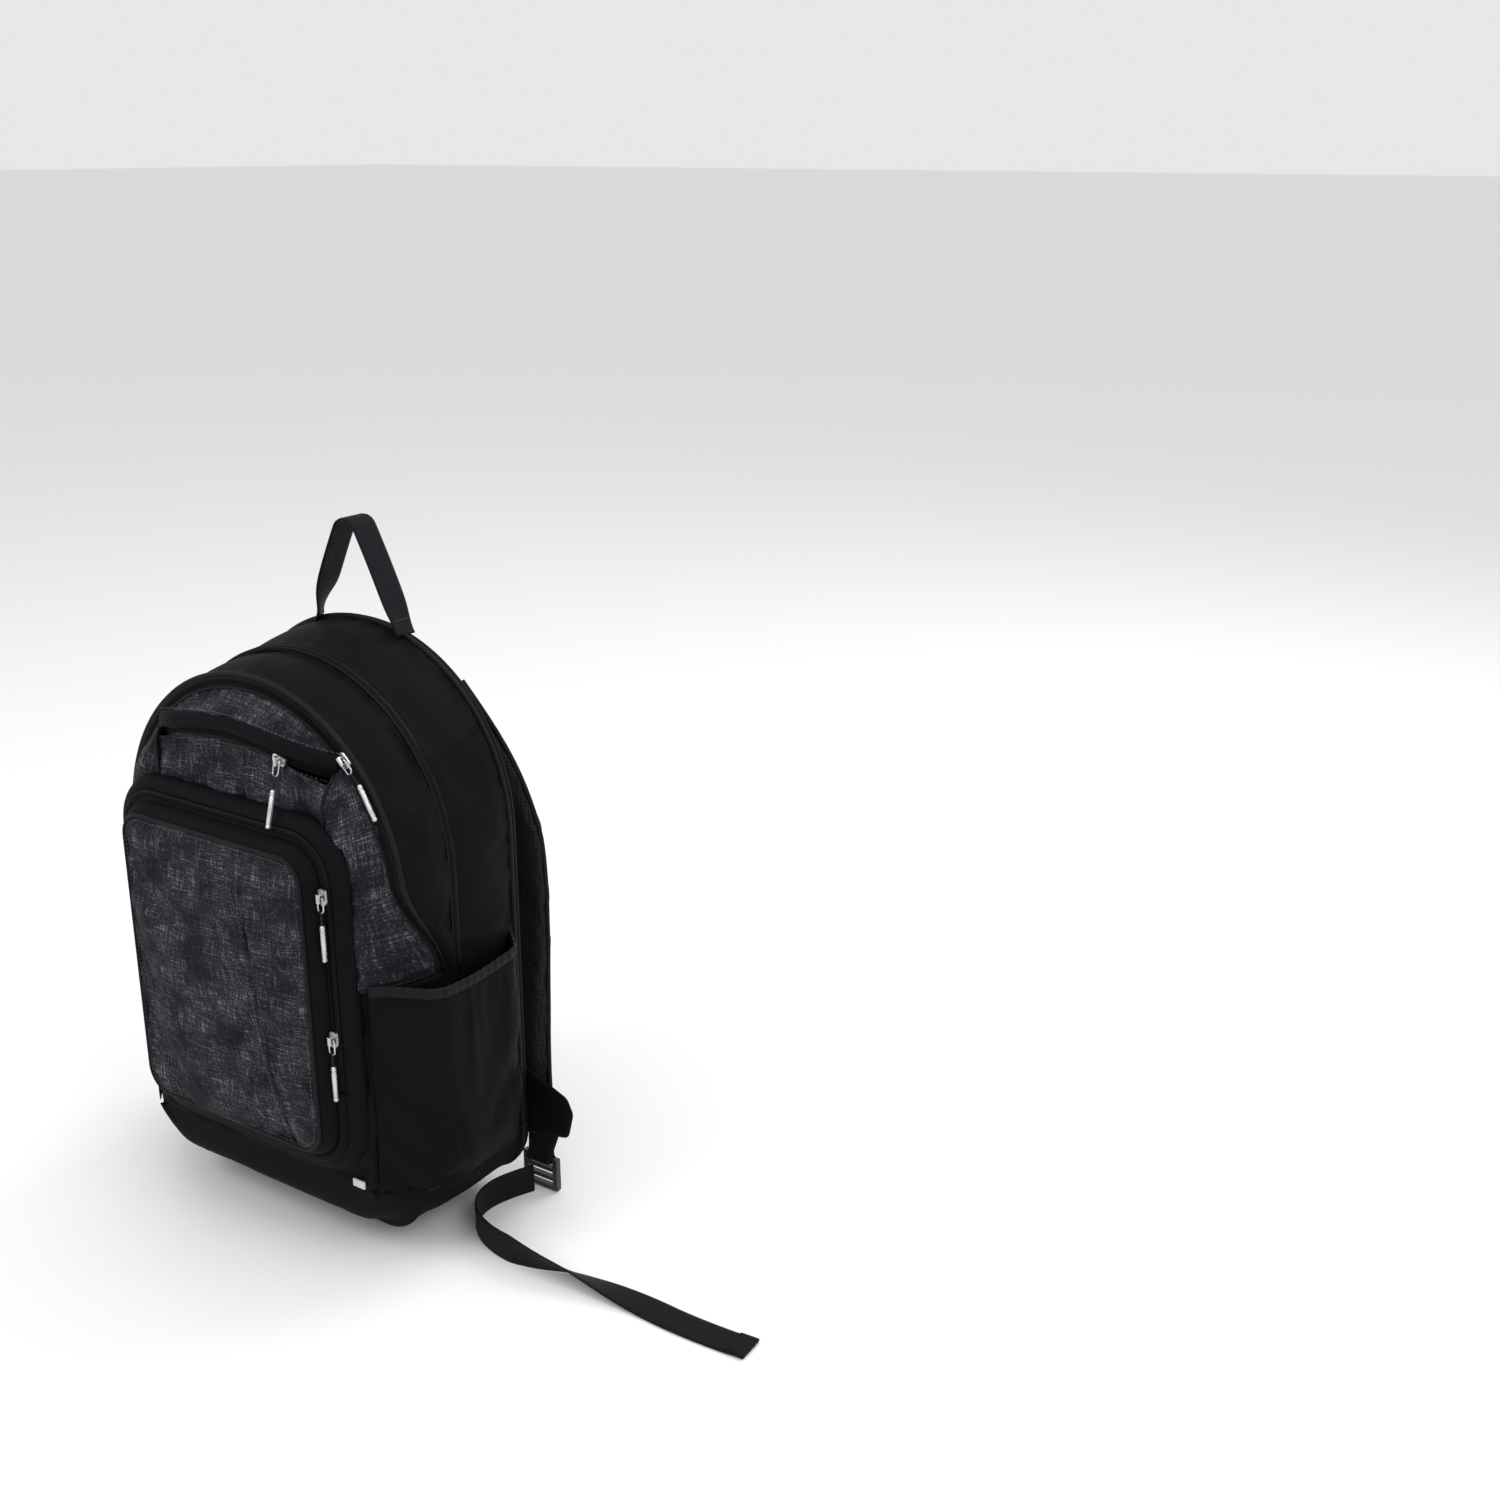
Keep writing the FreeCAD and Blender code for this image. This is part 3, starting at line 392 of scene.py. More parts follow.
def settle(piece: Piece, cloth: bpy.types.Modifier, frames: int, cap: float) -> None:
    """Run a piece's cloth simulation, keep the shape it ends in and take the modifier away.

    Args:
        piece: the piece that has the simulation.
        cloth: its cloth modifier, ready to run.
        frames: how many steps it runs for.
        cap: the furthest a point may move, in millimetres.
    """
    mesh, scene = piece.data, bpy.context.scene
    rest = mesh_points(piece)
    for number in range(1, frames + 1):
        scene.frame_set(number)
    shaped = piece.evaluated_get(bpy.context.evaluated_depsgraph_get())
    moved = np.array([vertex.co[:] for vertex in shaped.data.vertices]) - rest
    piece.modifiers.remove(cloth)
    scene.frame_set(1)
    far = np.linalg.norm(moved, axis=1, keepdims=True)
    limit = cap * MM
    moved = moved * limit * np.tanh(far / limit) / np.maximum(far, TINY)
    mesh.vertices.foreach_set("co", (rest + moved).ravel())
    mesh.update()


def crease(piece: Piece, grow: float, cap: float, push: float = 0.0) -> None:
    """Let a sewn-in panel buckle as real cloth does, with its seams held.

    Args:
        piece: the panel, an open sheet.
        grow: how much wider the cloth is than the space it is sewn into.
        cap: the furthest a point may move, in millimetres.
        push: how hard the bag's contents push outwards.
    """
    edge_use: dict[tuple[int, int], int] = {}
    for polygon in piece.data.polygons:
        for key in polygon.edge_keys:
            edge_use[key] = edge_use.get(key, 0) + 1
    held = sorted({i for key, used in edge_use.items() if used == 1 for i in key})
    group = piece.vertex_groups.new(name="seam")
    group.add(held, 1.0, "REPLACE")
    cloth = piece.modifiers.new("Cloth", "CLOTH")
    cloth.settings.quality = 5
    cloth.settings.mass = 0.15
    cloth.settings.tension_stiffness = 12.0
    cloth.settings.compression_stiffness = 12.0
    cloth.settings.shear_stiffness = 5.0
    cloth.settings.bending_stiffness = 0.8
    cloth.settings.vertex_group_mass = "seam"
    cloth.settings.shrink_min = -grow
    cloth.settings.effector_weights.gravity = 0.15
    cloth.settings.use_pressure = push > 0
    cloth.settings.uniform_pressure_force = push
    cloth.collision_settings.use_collision = False
    settle(piece, cloth, 14, cap)
    piece.vertex_groups.remove(group)


def thicken(piece: Piece, thickness: float) -> None:
    """Give a sheet its thickness on the inside.

    Args:
        piece: the sheet.
        thickness: how thick, in millimetres.
    """
    wall = piece.modifiers.new("Thickness", "SOLIDIFY")
    wall.thickness = thickness * MM
    wall.offset = -1.0
    wall.use_even_offset = False
    apply_modifiers(piece)


def subdivide(piece: Piece) -> None:
    """Smooth a piece with one applied level of subdivision.

    Args:
        piece: the piece.
    """
    surface = piece.modifiers.new("Smooth", "SUBSURF")
    surface.levels = surface.render_levels = 1
    apply_modifiers(piece)


def smooth_edges(piece: Piece, angle: float = 40.0) -> None:
    """Shade a piece smooth except at its sharp edges."""
    activate(piece)
    bpy.ops.object.shade_smooth_by_angle(angle=math.radians(angle))


def sweep(name: str, path: Points, across: Points, out: Points, section: Points,
          closed: bool = False) -> Piece:
    """Carry a section along a path.

    Args:
        name: the piece's name.
        path: the middle of the section at each step.
        across: the section's first direction at each step.
        out: the section's second direction at each step.
        section: the closed section's (across, out) points, anticlockwise.
        closed: whether the path joins its own start.

    Returns:
        The new closed piece.
    """
    steps, sides = len(path), len(section)
    points = (path[:, None, :] + across[:, None, :] * section[None, :, :1]
              + out[:, None, :] * section[None, :, 1:])
    faces: list[Face] = []
    for i in range(steps if closed else steps - 1):
        j = (i + 1) % steps
        faces += [(i * sides + k, i * sides + (k + 1) % sides, j * sides + (k + 1) % sides, j * sides + k)
                  for k in range(sides)]
    if not closed:
        faces += [tuple(reversed(range(sides))), tuple((steps - 1) * sides + k for k in range(sides))]
    uvs = np.stack([np.repeat(run_along(path), sides), np.tile(section[:, 0], steps)], axis=-1) * MM
    piece = add_mesh(name, points.reshape(-1, 3), faces, uvs)
    turn = np.cross(across[0], out[0]) @ tangents(path)[0]
    if turn > 0:
        piece.data.flip_normals()
    return piece


def ring_section(radius: float) -> Points:
    """Return a round section of eight sides."""
    angles = np.linspace(0, 2 * math.pi, 8, endpoint=False)
    return np.stack([np.cos(angles), np.sin(angles)], axis=-1) * radius


def band_section(width: float, thick: float, ribs: int = 5) -> Points:
    """Return a webbing section: rounded edges and lengthwise ribs on both faces.

    Args:
        width: the webbing's width.
        thick: its thickness.
        ribs: how many ribs.

    Returns:
        The section's points.
    """
    across = np.linspace(-1, 1, 2 * ribs + 1)
    height = thick / 2 * (0.86 + 0.14 * np.cos(across * math.pi * ribs))
    height[0] = height[-1] = thick * 0.22
    top = np.stack([across[::-1] * width / 2, height], axis=-1)
    bottom = np.stack([across * width / 2, -height], axis=-1)
    return np.concatenate([top, bottom])


def tube(name: str, path: Points, radius: float, out: Sequence[float] = FORWARD,
         closed: bool = False) -> Piece:
    """Make a round cord or piping.

    Args:
        name: the piece's name.
        path: the cord's middle.
        radius: half of its thickness.
        out: any direction that is never along the path.
        closed: whether the path joins its own start.

    Returns:
        The new piece.
    """
    way = tangents(path)
    if closed:
        joint = path[1] - path[-1]
        way[0] = way[-1] = joint / np.linalg.norm(joint)
    side = np.cross(way, np.array(out, dtype=float))
    side = side / np.maximum(np.linalg.norm(side, axis=1, keepdims=True), 1e-6)
    return sweep(name, path, side, np.cross(side, way), ring_section(radius), closed)


def join(name: str, parts: Sequence[Piece]) -> Piece:
    """Join pieces into one mesh under this name.

    Args:
        name: the name.
        parts: the pieces, the first of which is kept.

    Returns:
        The joined piece.
    """
    deselect()
    for part in parts:
        part.select_set(True)
    bpy.context.view_layer.objects.active = parts[0]
    if len(parts) > 1:
        bpy.ops.object.join()
    parts[0].name = name
    parts[0].data.name = name
    return parts[0]


def stitches(name: str, path: Points, out: Points, pitch: float = 3.6, length: float = 2.5,
             radius: float = 0.32) -> Piece:
    """Make a row of stitches that lie along a path.

    Args:
        name: the piece's name.
        path: the row's line on the cloth.
        out: the cloth's outward direction, one for all points or one a point.
        pitch: from the start of one stitch to the next.
        length: how long one stitch is.
        radius: half of the thread's thickness.

    Returns:
        The row as one piece.
    """
    total = float(np.sum(np.linalg.norm(np.diff(path, axis=0), axis=1)))
    count = max(2, int(total / pitch))
    spots = resample(path, count)
    ways = tangents(spots)
    if np.ndim(out) == 1:
        outs = np.broadcast_to(np.asarray(out, dtype=float), spots.shape)
    else:
        outs = resample(out + np.linspace(0, 1e-6, len(path))[:, None], count)
    sides = np.cross(ways, outs)
    points, faces = [], []
    for spot, way, up, side in zip(spots, ways, outs, sides):
        start = len(points)
        for along, thick in ((-0.5, 0.35), (-0.28, 1.0), (0.28, 1.0), (0.5, 0.35)):
            middle = spot + way * along * length + up * radius * (thick - 0.5)
            points += [middle + side * radius * thick, middle + up * radius * thick,
                       middle - side * radius * thick, middle - up * radius * thick]
        for ring in range(3):
            a = start + 4 * ring
            faces += [(a + k, a + (k + 1) % 4, a + 4 + (k + 1) % 4, a + 4 + k) for k in range(4)]
        faces += [(start + 3, start + 2, start + 1, start), (start + 12, start + 13, start + 14, start + 15)]
    return mend(add_mesh(name, np.array(points), faces))


@dataclass
class ZipRun:
    """A stretch of zip: its middle line, its width direction and its outward direction at each point."""

    path: Points
    across: Points
    out: Points
    width: float = 8.0
    thick: float = 2.4
    parted: bool = False
    pitch: float = 1.9

    @classmethod
    def flat(cls, path: Points, width: float = 8.0, parted: bool = False) -> "ZipRun":
        """Return a stretch that faces the front."""
        out = steady(FORWARD, path)
        return cls(path, np.cross(out, tangents(path)), out, width, parted=parted)

    def tape(self) -> tuple[Points, list[Face], Points]:
        """Make the woven tape.

        Returns:
            The tape's points, its faces and each point's place on the cloth.
        """
        spans = [(-0.5, 0.5)] if not self.parted else [(-0.5, -0.24), (0.24, 0.5)]
        points, faces, uvs = [], [], []
        run = run_along(self.path)
        for low, high in spans:
            section = np.array([(high, 0.35), (low, 0.35), (low, -0.5), (high, -0.5)])
            section = section * (self.width, self.thick)
            base = sum(len(block) for block in points)
            block = (self.path[:, None] + self.across[:, None] * section[None, :, :1]
                     + self.out[:, None] * section[None, :, 1:]).reshape(-1, 3)
            points.append(block)
            uvs.append(np.stack([np.repeat(run, 4), np.tile(section[:, 0], len(run))], axis=-1) * MM)
            for i in range(len(self.path) - 1):
                a = base + 4 * i
                faces += [(a + k, a + (k + 1) % 4, a + 4 + (k + 1) % 4, a + 4 + k) for k in range(4)]
            end = base + 4 * (len(self.path) - 1)
            faces += [(base + 3, base + 2, base + 1, base), (end, end + 1, end + 2, end + 3)]
        return np.concatenate(points), faces, np.concatenate(uvs)

    def teeth(self) -> tuple[Points, list[Face]]:
        """Make the coil's turns: two rows, one on each edge of the tape, half a turn apart.

        Returns:
            The coil's points and faces.
        """
        total = float(np.sum(np.linalg.norm(np.diff(self.path, axis=0), axis=1)))
        count = max(2, int(total / self.pitch))
        both = np.concatenate([self.path, self.across, self.out], axis=1)
        run = run_along(self.path)
        loop = [(x, y, 0) for x, y in ((-1, -1), (1, -1), (1, 1), (-1, 1))]
        loop += [(0.7 * x, 0.6 * y, 1) for x, y, _ in loop]
        points: list[Points] = []
        faces: list[Face] = []
        for row in (-1, 1):
            centre = row * (0.115 if not self.parted else 0.21) * self.width
            want = (np.arange(count) + 0.25 * row + 0.5) * total / count
            line = np.stack([np.interp(want, run, both[:, k]) for k in range(9)], axis=-1)
            spots, across, out = line[:, :3], line[:, 3:6], line[:, 6:]
            ways = tangents(spots)
            for spot, side, up, way in zip(spots, across, out, ways):
                start = len(points)
                middle = spot + side * centre + up * self.thick * 0.35
                points += [middle + side * a * self.width * 0.13 + way * b * self.pitch * 0.34
                           + up * (c * self.thick * 0.42 - 0.1) for a, b, c in loop]
                faces += [(start + 3, start + 2, start + 1, start),
                          (start + 4, start + 5, start + 6, start + 7)]
                faces += [(start + k, start + (k + 1) % 4, start + 4 + (k + 1) % 4, start + 4 + k)
                          for k in range(4)]
        return np.array(points), faces


def zip_piece(name: str, runs: Sequence[ZipRun]) -> Piece:
    """Make one zip from its stretches: tape in the first slot, coil in the second.

    Args:
        name: the zip's name.
        runs: its stretches.

    Returns:
        The zip, dressed.
    """
    points, faces, uvs, slots = [], [], [], []
    for run in runs:
        tape, teeth = run.tape(), run.teeth()
        for slot, (block, quads, places) in enumerate((tape, (*teeth, np.zeros((len(teeth[0]), 2))))):
            base = sum(len(item) for item in points)
            points.append(block)
            uvs.append(places)
            faces += [tuple(base + i for i in face) for face in quads]
            slots += [slot] * len(quads)
    piece = mend(add_mesh(name, np.concatenate(points), faces, np.concatenate(uvs), slots))
    smooth_edges(piece)
    return dress(piece, ZIP_TAPE, ZIP_COIL)


# Finishes
class Graph:
    """A small helper that adds and joins the nodes of one tree."""

    def __init__(self, tree: Tree) -> None:
        """Keep the tree that the nodes go into."""
        self.tree = tree

    def add(self, kind: str, settings: Optional[dict] = None, **inputs: object) -> Node:
        """Add a node.

        Args:
            kind: the node's type name without ShaderNode.
            settings: the node's own properties.
            inputs: a socket or a value for each input, by number as i0, i1 or by name with _ for spaces.

        Returns:
            The new node.
        """
        node = self.tree.nodes.new("ShaderNode" + kind)
        for key, value in (settings or {}).items():
            setattr(node, key, value)
        for key, value in inputs.items():
            numbered = key[0] == "i" and key[1:].isdigit()
            socket = node.inputs[int(key[1:]) if numbered else key.replace("_", " ")]
            if isinstance(value, Socket):
                self.link(value, socket)
            else:
                socket.default_value = value
        return node

    def link(self, source: Socket, target: Socket) -> None:
        """Join an output to an input."""
        self.tree.links.new(source, target)

    def math(self, operation: str, *values: object) -> Socket:
        """Add a Math node and return its output."""
        inputs = {f"i{i}": value for i, value in enumerate(values)}
        return self.add("Math", {"operation": operation}, **inputs).outputs[0]

    def noise(self, vector: Socket, scale: Sequence[float],
              detail: float = 3.0) -> Socket:
        """Add a stretched noise and return its value."""
        stretched = self.add("Mapping", None, Vector=vector, Scale=tuple(scale)).outputs[0]
        return self.add("TexNoise", None, Vector=stretched, Scale=1.0, Detail=detail).outputs[0]

    def spread(self, value: Socket, low: float, high: float, to_low: float = 0.0,
               to_high: float = 1.0) -> Socket:
        """Map a range of values to another."""
        return self.add("MapRange", None, i0=value, i1=low, i2=high, i3=to_low, i4=to_high).outputs[0]


def shader_group(name: str, outputs: Sequence[tuple[str, str]], inputs: Sequence[tuple[str, str, object]],
                 fill: Callable[[Graph, Node, Node], None]) -> Tree:
    """Make a node group the first time it is asked for.

    Args:
        name: the group's name.
        outputs: each output's label and kind.
        inputs: each input's label, kind and value.
        fill: a function that adds the nodes between the group's two ends.

    Returns:
        The group's tree.
    """
    if name in bpy.data.node_groups:
        return bpy.data.node_groups[name]
    tree = bpy.data.node_groups.new(name, "ShaderNodeTree")
    for label, kind, value in inputs:
        socket = tree.interface.new_socket(label, in_out="INPUT", socket_type=kind)
        if value is not None:
            socket.default_value = value
    for label, kind in outputs:
        tree.interface.new_socket(label, in_out="OUTPUT", socket_type=kind)
    fill(Graph(tree), tree.nodes.new("NodeGroupInput"), tree.nodes.new("NodeGroupOutput"))
    return tree


def weave_group() -> Tree:
    """Return the weave: crossing threads as a height, and their shade.

    Returns:
        The group's tree.
    """
    def fill(graph: Graph, given: Node, result: Node) -> None:
        """Add the nodes.

        Args:
            graph: the group's graph.
            given: the group's input node.
            result: the group's output node.
        """
        place = graph.add("SeparateXYZ", None, i0=given.outputs["Place"])
        warp = graph.math("SINE", graph.math("MULTIPLY", place.outputs[0], given.outputs["Threads"]))
        weft = graph.math("SINE", graph.math("MULTIPLY", place.outputs[1], given.outputs["Threads"]))
        crossing = graph.math("MULTIPLY", warp, weft)
        height = graph.math("MULTIPLY_ADD", crossing, 0.5, 0.5)
        grain = graph.noise(given.outputs["Place"], (900.0, 900.0, 900.0), 2.0)
        rough = graph.math("MULTIPLY_ADD", grain, 0.6, graph.math("MULTIPLY", height, 0.4))
        graph.link(rough, result.inputs["Height"])
        graph.link(grain, result.inputs["Grain"])

    return shader_group("thread weave", [("Height", "NodeSocketFloat"), ("Grain", "NodeSocketFloat")],
                        [("Place", "NodeSocketVector", None), ("Threads", "NodeSocketFloat", 4000.0)], fill)


def slub_group() -> Tree:
    """Return the melange: uneven light threads both ways, in cloudy patches.

    Returns:
        The group's tree.
    """
    def fill(graph: Graph, given: Node, result: Node) -> None:
        """Add the nodes.

        Args:
            graph: the group's graph.
            given: the group's input node.
            result: the group's output node.
        """
        place = given.outputs["Place"]
        warp = graph.spread(graph.noise(place, (860.0, 60.0, 1.0), 3.0), 0.50, 0.68)
        weft = graph.spread(graph.noise(place, (52.0, 800.0, 1.0), 3.0), 0.51, 0.70)
        flecks = graph.spread(graph.noise(place, (420.0, 1000.0, 1.0), 2.0), 0.57, 0.74)
        clouds = graph.spread(graph.noise(place, (28.0, 34.0, 1.0), 3.0), 0.36, 0.62, 0.16, 1.0)
        bars = graph.spread(graph.noise(place, (120.0, 14.0, 1.0), 2.0), 0.42, 0.60, 0.35, 1.0)
        stripes = graph.spread(graph.noise(place, (13.0, 110.0, 1.0), 2.0), 0.42, 0.60, 0.4, 1.0)
        crossing = graph.math("MULTIPLY", warp, weft)
        threads = graph.math("ADD", graph.math("MULTIPLY", warp, bars), graph.math("MULTIPLY", weft, stripes))
        light = graph.math("ADD", graph.math("MULTIPLY", threads, 0.16),
                           graph.math("MULTIPLY", crossing, 0.75))
        light = graph.math("ADD", light, graph.math("MULTIPLY", flecks, 0.42))
        light = graph.math("MULTIPLY_ADD", light, clouds, graph.math("MULTIPLY", clouds, 0.035))
        graph.link(graph.math("MINIMUM", light, 1.0), result.inputs["Light"])

    return shader_group("melange threads", [("Light", "NodeSocketFloat")],
                        [("Place", "NodeSocketVector", None)], fill)


def wear_group() -> Tree:
    """Return slow changes of shade over the piece, as handling and dust leave.

    Returns:
        The group's tree.
    """
    def fill(graph: Graph, given: Node, result: Node) -> None:
        """Add the nodes.

        Args:
            graph: the group's graph.
            given: the group's input node.
            result: the group's output node.
        """
        place = given.outputs["Place"]
        patches = graph.noise(place, (9.0, 9.0, 9.0), 4.0)
        marks = graph.spread(graph.noise(place, (60.0, 60.0, 60.0), 5.0), 0.5, 0.75)
        amount = graph.math("MULTIPLY", graph.math("ADD", patches, graph.math("MULTIPLY", marks, 0.35)),
                            given.outputs["Amount"])
        graph.link(amount, result.inputs["Mask"])

    return shader_group("handling wear", [("Mask", "NodeSocketFloat")],
                        [("Place", "NodeSocketVector", None), ("Amount", "NodeSocketFloat", 0.5)], fill)


@dataclass(frozen=True)
class Finish:
    """What every finish has: a name and a way to start its material."""

    name: str
    dark: RGB
    light: RGB
    roughness: float

    def start(self) -> tuple[bpy.types.Material, Graph, Node, Node]:
        """Return a new material with its graph, its shader and its coordinates.

        Returns:
            The material, the graph, the shader and the coordinates' node.
        """
        material = bpy.data.materials.new(self.name)
        material.use_nodes = True
        graph = Graph(material.node_tree)
        shader = next(node for node in material.node_tree.nodes if node.type == "BSDF_PRINCIPLED")
        material.diffuse_color = (*self.dark, 1.0)
        return material, graph, shader, graph.add("TexCoord")

    def tint(self, graph: Graph, shader: Node, share: Socket) -> None:
        """Colour the shader between the dark and the light tone.

        Args:
            graph: the material's graph.
            shader: its shader.
            share: how light each place is.
        """
        mix = graph.add("Mix", {"data_type": "RGBA"})
        mix.inputs[6].default_value = (*self.dark, 1.0)
        mix.inputs[7].default_value = (*self.light, 1.0)
        graph.link(share, mix.inputs[0])
        graph.link(mix.outputs[2], shader.inputs["Base Color"])

    def wear(self, graph: Graph, place: Socket, amount: float) -> Socket:
        """Return the wear mask at this strength."""
        return graph.add("Group", {"node_tree": wear_group()}, Place=place, Amount=amount).outputs["Mask"]

    def emboss(self, graph: Graph, shader: Node, height: Socket, strength: float,
               depth: float) -> None:
        """Raise a pattern on the surface.

        Args:
            graph: the material's graph.
            shader: the material's shader.
            height: the pattern.
            strength: how much of it shows.
            depth: how high it stands, in metres.
        """
        bump = graph.add("Bump", None, Strength=strength, Distance=depth, Height=height)
        graph.link(bump.outputs[0], shader.inputs["Normal"])


@dataclass(frozen=True)
class ClothFinish(Finish):
    """Woven cloth: a thread weave, handling wear and, for melange, light slubs."""

    threads: float = 5000.0
    bump: float = 0.25
    sheen: float = 0.0
    gloss: float = 0.12
    slubs: bool = False

    def make(self) -> bpy.types.Material:
        """Return the material.

        Returns:
            The material.
        """
        material, graph, shader, place = self.start()
        cloth = place.outputs["UV"]
        weave = graph.add("Group", {"node_tree": weave_group()}, Place=cloth, Threads=self.threads)
        wear = self.wear(graph, place.outputs["Object"], 0.5)
        if self.slubs:
            share = graph.add("Group", {"node_tree": slub_group()}, Place=cloth).outputs["Light"]
        else:
            share = graph.math("MULTIPLY", wear, graph.math("ADD", weave.outputs["Grain"], 0.35))
        self.tint(graph, shader, share)
        rough = graph.spread(wear, 0.1, 0.6, self.roughness - 0.08, self.roughness + 0.08)
        graph.link(rough, shader.inputs["Roughness"])
        self.emboss(graph, shader, weave.outputs["Height"], self.bump, 0.0006)
        shader.inputs["Sheen Weight"].default_value = self.sheen
        shader.inputs["Specular IOR Level"].default_value = self.gloss
        return material


@dataclass(frozen=True)
class WebbingFinish(Finish):
    """Narrow woven tape with ribs across its length."""

    picks: float = 3200.0
    bump: float = 0.35
    gloss: float = 0.1

    def make(self) -> bpy.types.Material:
        """Return the material.

        Returns:
            The material.
        """
        material, graph, shader, place = self.start()
        spot = graph.add("SeparateXYZ", None, i0=place.outputs["UV"])
        zigzag = graph.math("PINGPONG", spot.outputs[1], 0.0025)
        along = graph.math("ADD", spot.outputs[0], zigzag)
        picks = graph.math("SINE", graph.math("MULTIPLY", along, self.picks))
        wear = self.wear(graph, place.outputs["Object"], 0.6)
        self.tint(graph, shader, graph.math("MULTIPLY", wear, graph.math("MULTIPLY_ADD", picks, 0.25, 0.6)))
        graph.link(graph.spread(wear, 0.1, 0.6, self.roughness - 0.07, self.roughness + 0.07),
                             shader.inputs["Roughness"])
        self.emboss(graph, shader, picks, self.bump, 0.0005)
        shader.inputs["Specular IOR Level"].default_value = self.gloss
        return material


@dataclass(frozen=True)
class AirMeshFinish(Finish):
    """Spacer mesh: a close pattern of small holes."""

    cells: float = 330.0
    gloss: float = 0.1

    def make(self) -> bpy.types.Material:
        """Return the material.

        Returns:
            The material.
        """
        material, graph, shader, place = self.start()
        cell = graph.add("TexVoronoi", None, Vector=place.outputs["Object"], Scale=self.cells,
                         Randomness=0.25)
        hole = graph.spread(cell.outputs["Distance"], 0.18, 0.42)
        self.tint(graph, shader, graph.math("MULTIPLY", hole, 0.8))
        graph.link(graph.spread(hole, 0.0, 1.0, self.roughness + 0.1, self.roughness - 0.1),
                             shader.inputs["Roughness"])
        self.emboss(graph, shader, hole, 0.6, 0.0008)
        shader.inputs["Specular IOR Level"].default_value = self.gloss
        return material


@dataclass(frozen=True)
class HardFinish(Finish):
    """Plated metal or moulded plastic, with fine scratches and grain."""

    metallic: float = 0.0
    grain: float = 700.0
    bump: float = 0.05

    def make(self) -> bpy.types.Material:
        """Return the material.

        Returns:
            The material.
        """
        material, graph, shader, place = self.start()
        wear = self.wear(graph, place.outputs["Object"], 0.9)
        scratches = graph.noise(place.outputs["Object"], (self.grain, self.grain, self.grain * 0.2), 3.0)
        self.tint(graph, shader, graph.math("MULTIPLY", wear, scratches))
        graph.link(graph.spread(scratches, 0.3, 0.7, self.roughness - 0.06, self.roughness + 0.1),
                             shader.inputs["Roughness"])
        shader.inputs["Metallic"].default_value = self.metallic
        self.emboss(graph, shader, scratches, self.bump, 0.0002)
        return material


POLYESTER = ClothFinish("black polyester cloth", (0.0014, 0.0016, 0.0021), (0.0068, 0.0074, 0.0090), 0.7,
                        gloss=0.07)
DENIM = ClothFinish("heathered charcoal cloth", (0.0045, 0.005, 0.0072), (0.30, 0.315, 0.36), 0.85,
                    threads=4200.0, bump=0.45, gloss=0.1, slubs=True)
BINDING = ClothFinish("elastic binding tape", (0.003, 0.003, 0.0035), (0.015, 0.0155, 0.017), 0.6,
                      threads=2600.0, bump=0.5)
WEBBING = WebbingFinish("ribbed webbing", (0.0022, 0.0026, 0.0038), (0.015, 0.0165, 0.022), 0.6)
ZIP_TAPE = ClothFinish("zip tape", (0.0028, 0.0028, 0.0032), (0.012, 0.012, 0.013), 0.66, threads=3600.0)
ZIP_COIL = HardFinish("nylon zip coil", (0.004, 0.004, 0.0045), (0.018, 0.018, 0.02), 0.36)
AIR_MESH = AirMeshFinish("spacer mesh", (0.002, 0.002, 0.0023), (0.016, 0.016, 0.0175), 0.7)
NET = HardFinish("knitted net thread", (0.006, 0.006, 0.0065), (0.03, 0.03, 0.032), 0.5)
PLASTIC = HardFinish("moulded black plastic", (0.007, 0.0075, 0.009), (0.032, 0.034, 0.04), 0.38, bump=0.12)
PLATED = HardFinish("plated slider metal", (0.42, 0.42, 0.43), (0.82, 0.82, 0.83), 0.26, metallic=1.0)
SATIN = HardFinish("satin pull bar", (0.5, 0.51, 0.52), (0.86, 0.87, 0.88), 0.34, metallic=0.85)
PULL_CORD = ClothFinish("braided pull cord", (0.008, 0.008, 0.009), (0.04, 0.04, 0.043), 0.65, threads=6000.0)
PALE_THREAD = ClothFinish("pale grey thread", (0.05, 0.053, 0.06), (0.16, 0.168, 0.185), 0.7)
DARK_THREAD = ClothFinish("black thread", (0.006, 0.006, 0.007), (0.022, 0.022, 0.025), 0.55)
TAG = ClothFinish("white woven tag", (0.5, 0.5, 0.5), (0.72, 0.72, 0.71), 0.7)
_made: dict[str, bpy.types.Material] = {}


def dress(piece: Piece, *finishes: Finish) -> Piece:
    """Put finishes in a piece's material slots.

    Args:
        piece: the piece.
        finishes: a finish for each slot.

    Returns:
        The same piece.
    """
    piece.data.materials.clear()
    for finish in finishes:
        if finish.name not in _made:
            _made[finish.name] = finish.make()
        piece.data.materials.append(_made[finish.name])
    return piece


def place(piece: Piece, body: str, slot: str, *nodes: str) -> Piece:
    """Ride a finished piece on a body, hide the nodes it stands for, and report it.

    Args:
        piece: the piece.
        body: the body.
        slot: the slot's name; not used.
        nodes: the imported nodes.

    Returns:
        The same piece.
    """
    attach(piece, body)
    if nodes:
        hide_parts(*nodes)
    LOG.info("%s: %d faces on %s", piece.name, len(piece.data.polygons), body)
    return piece


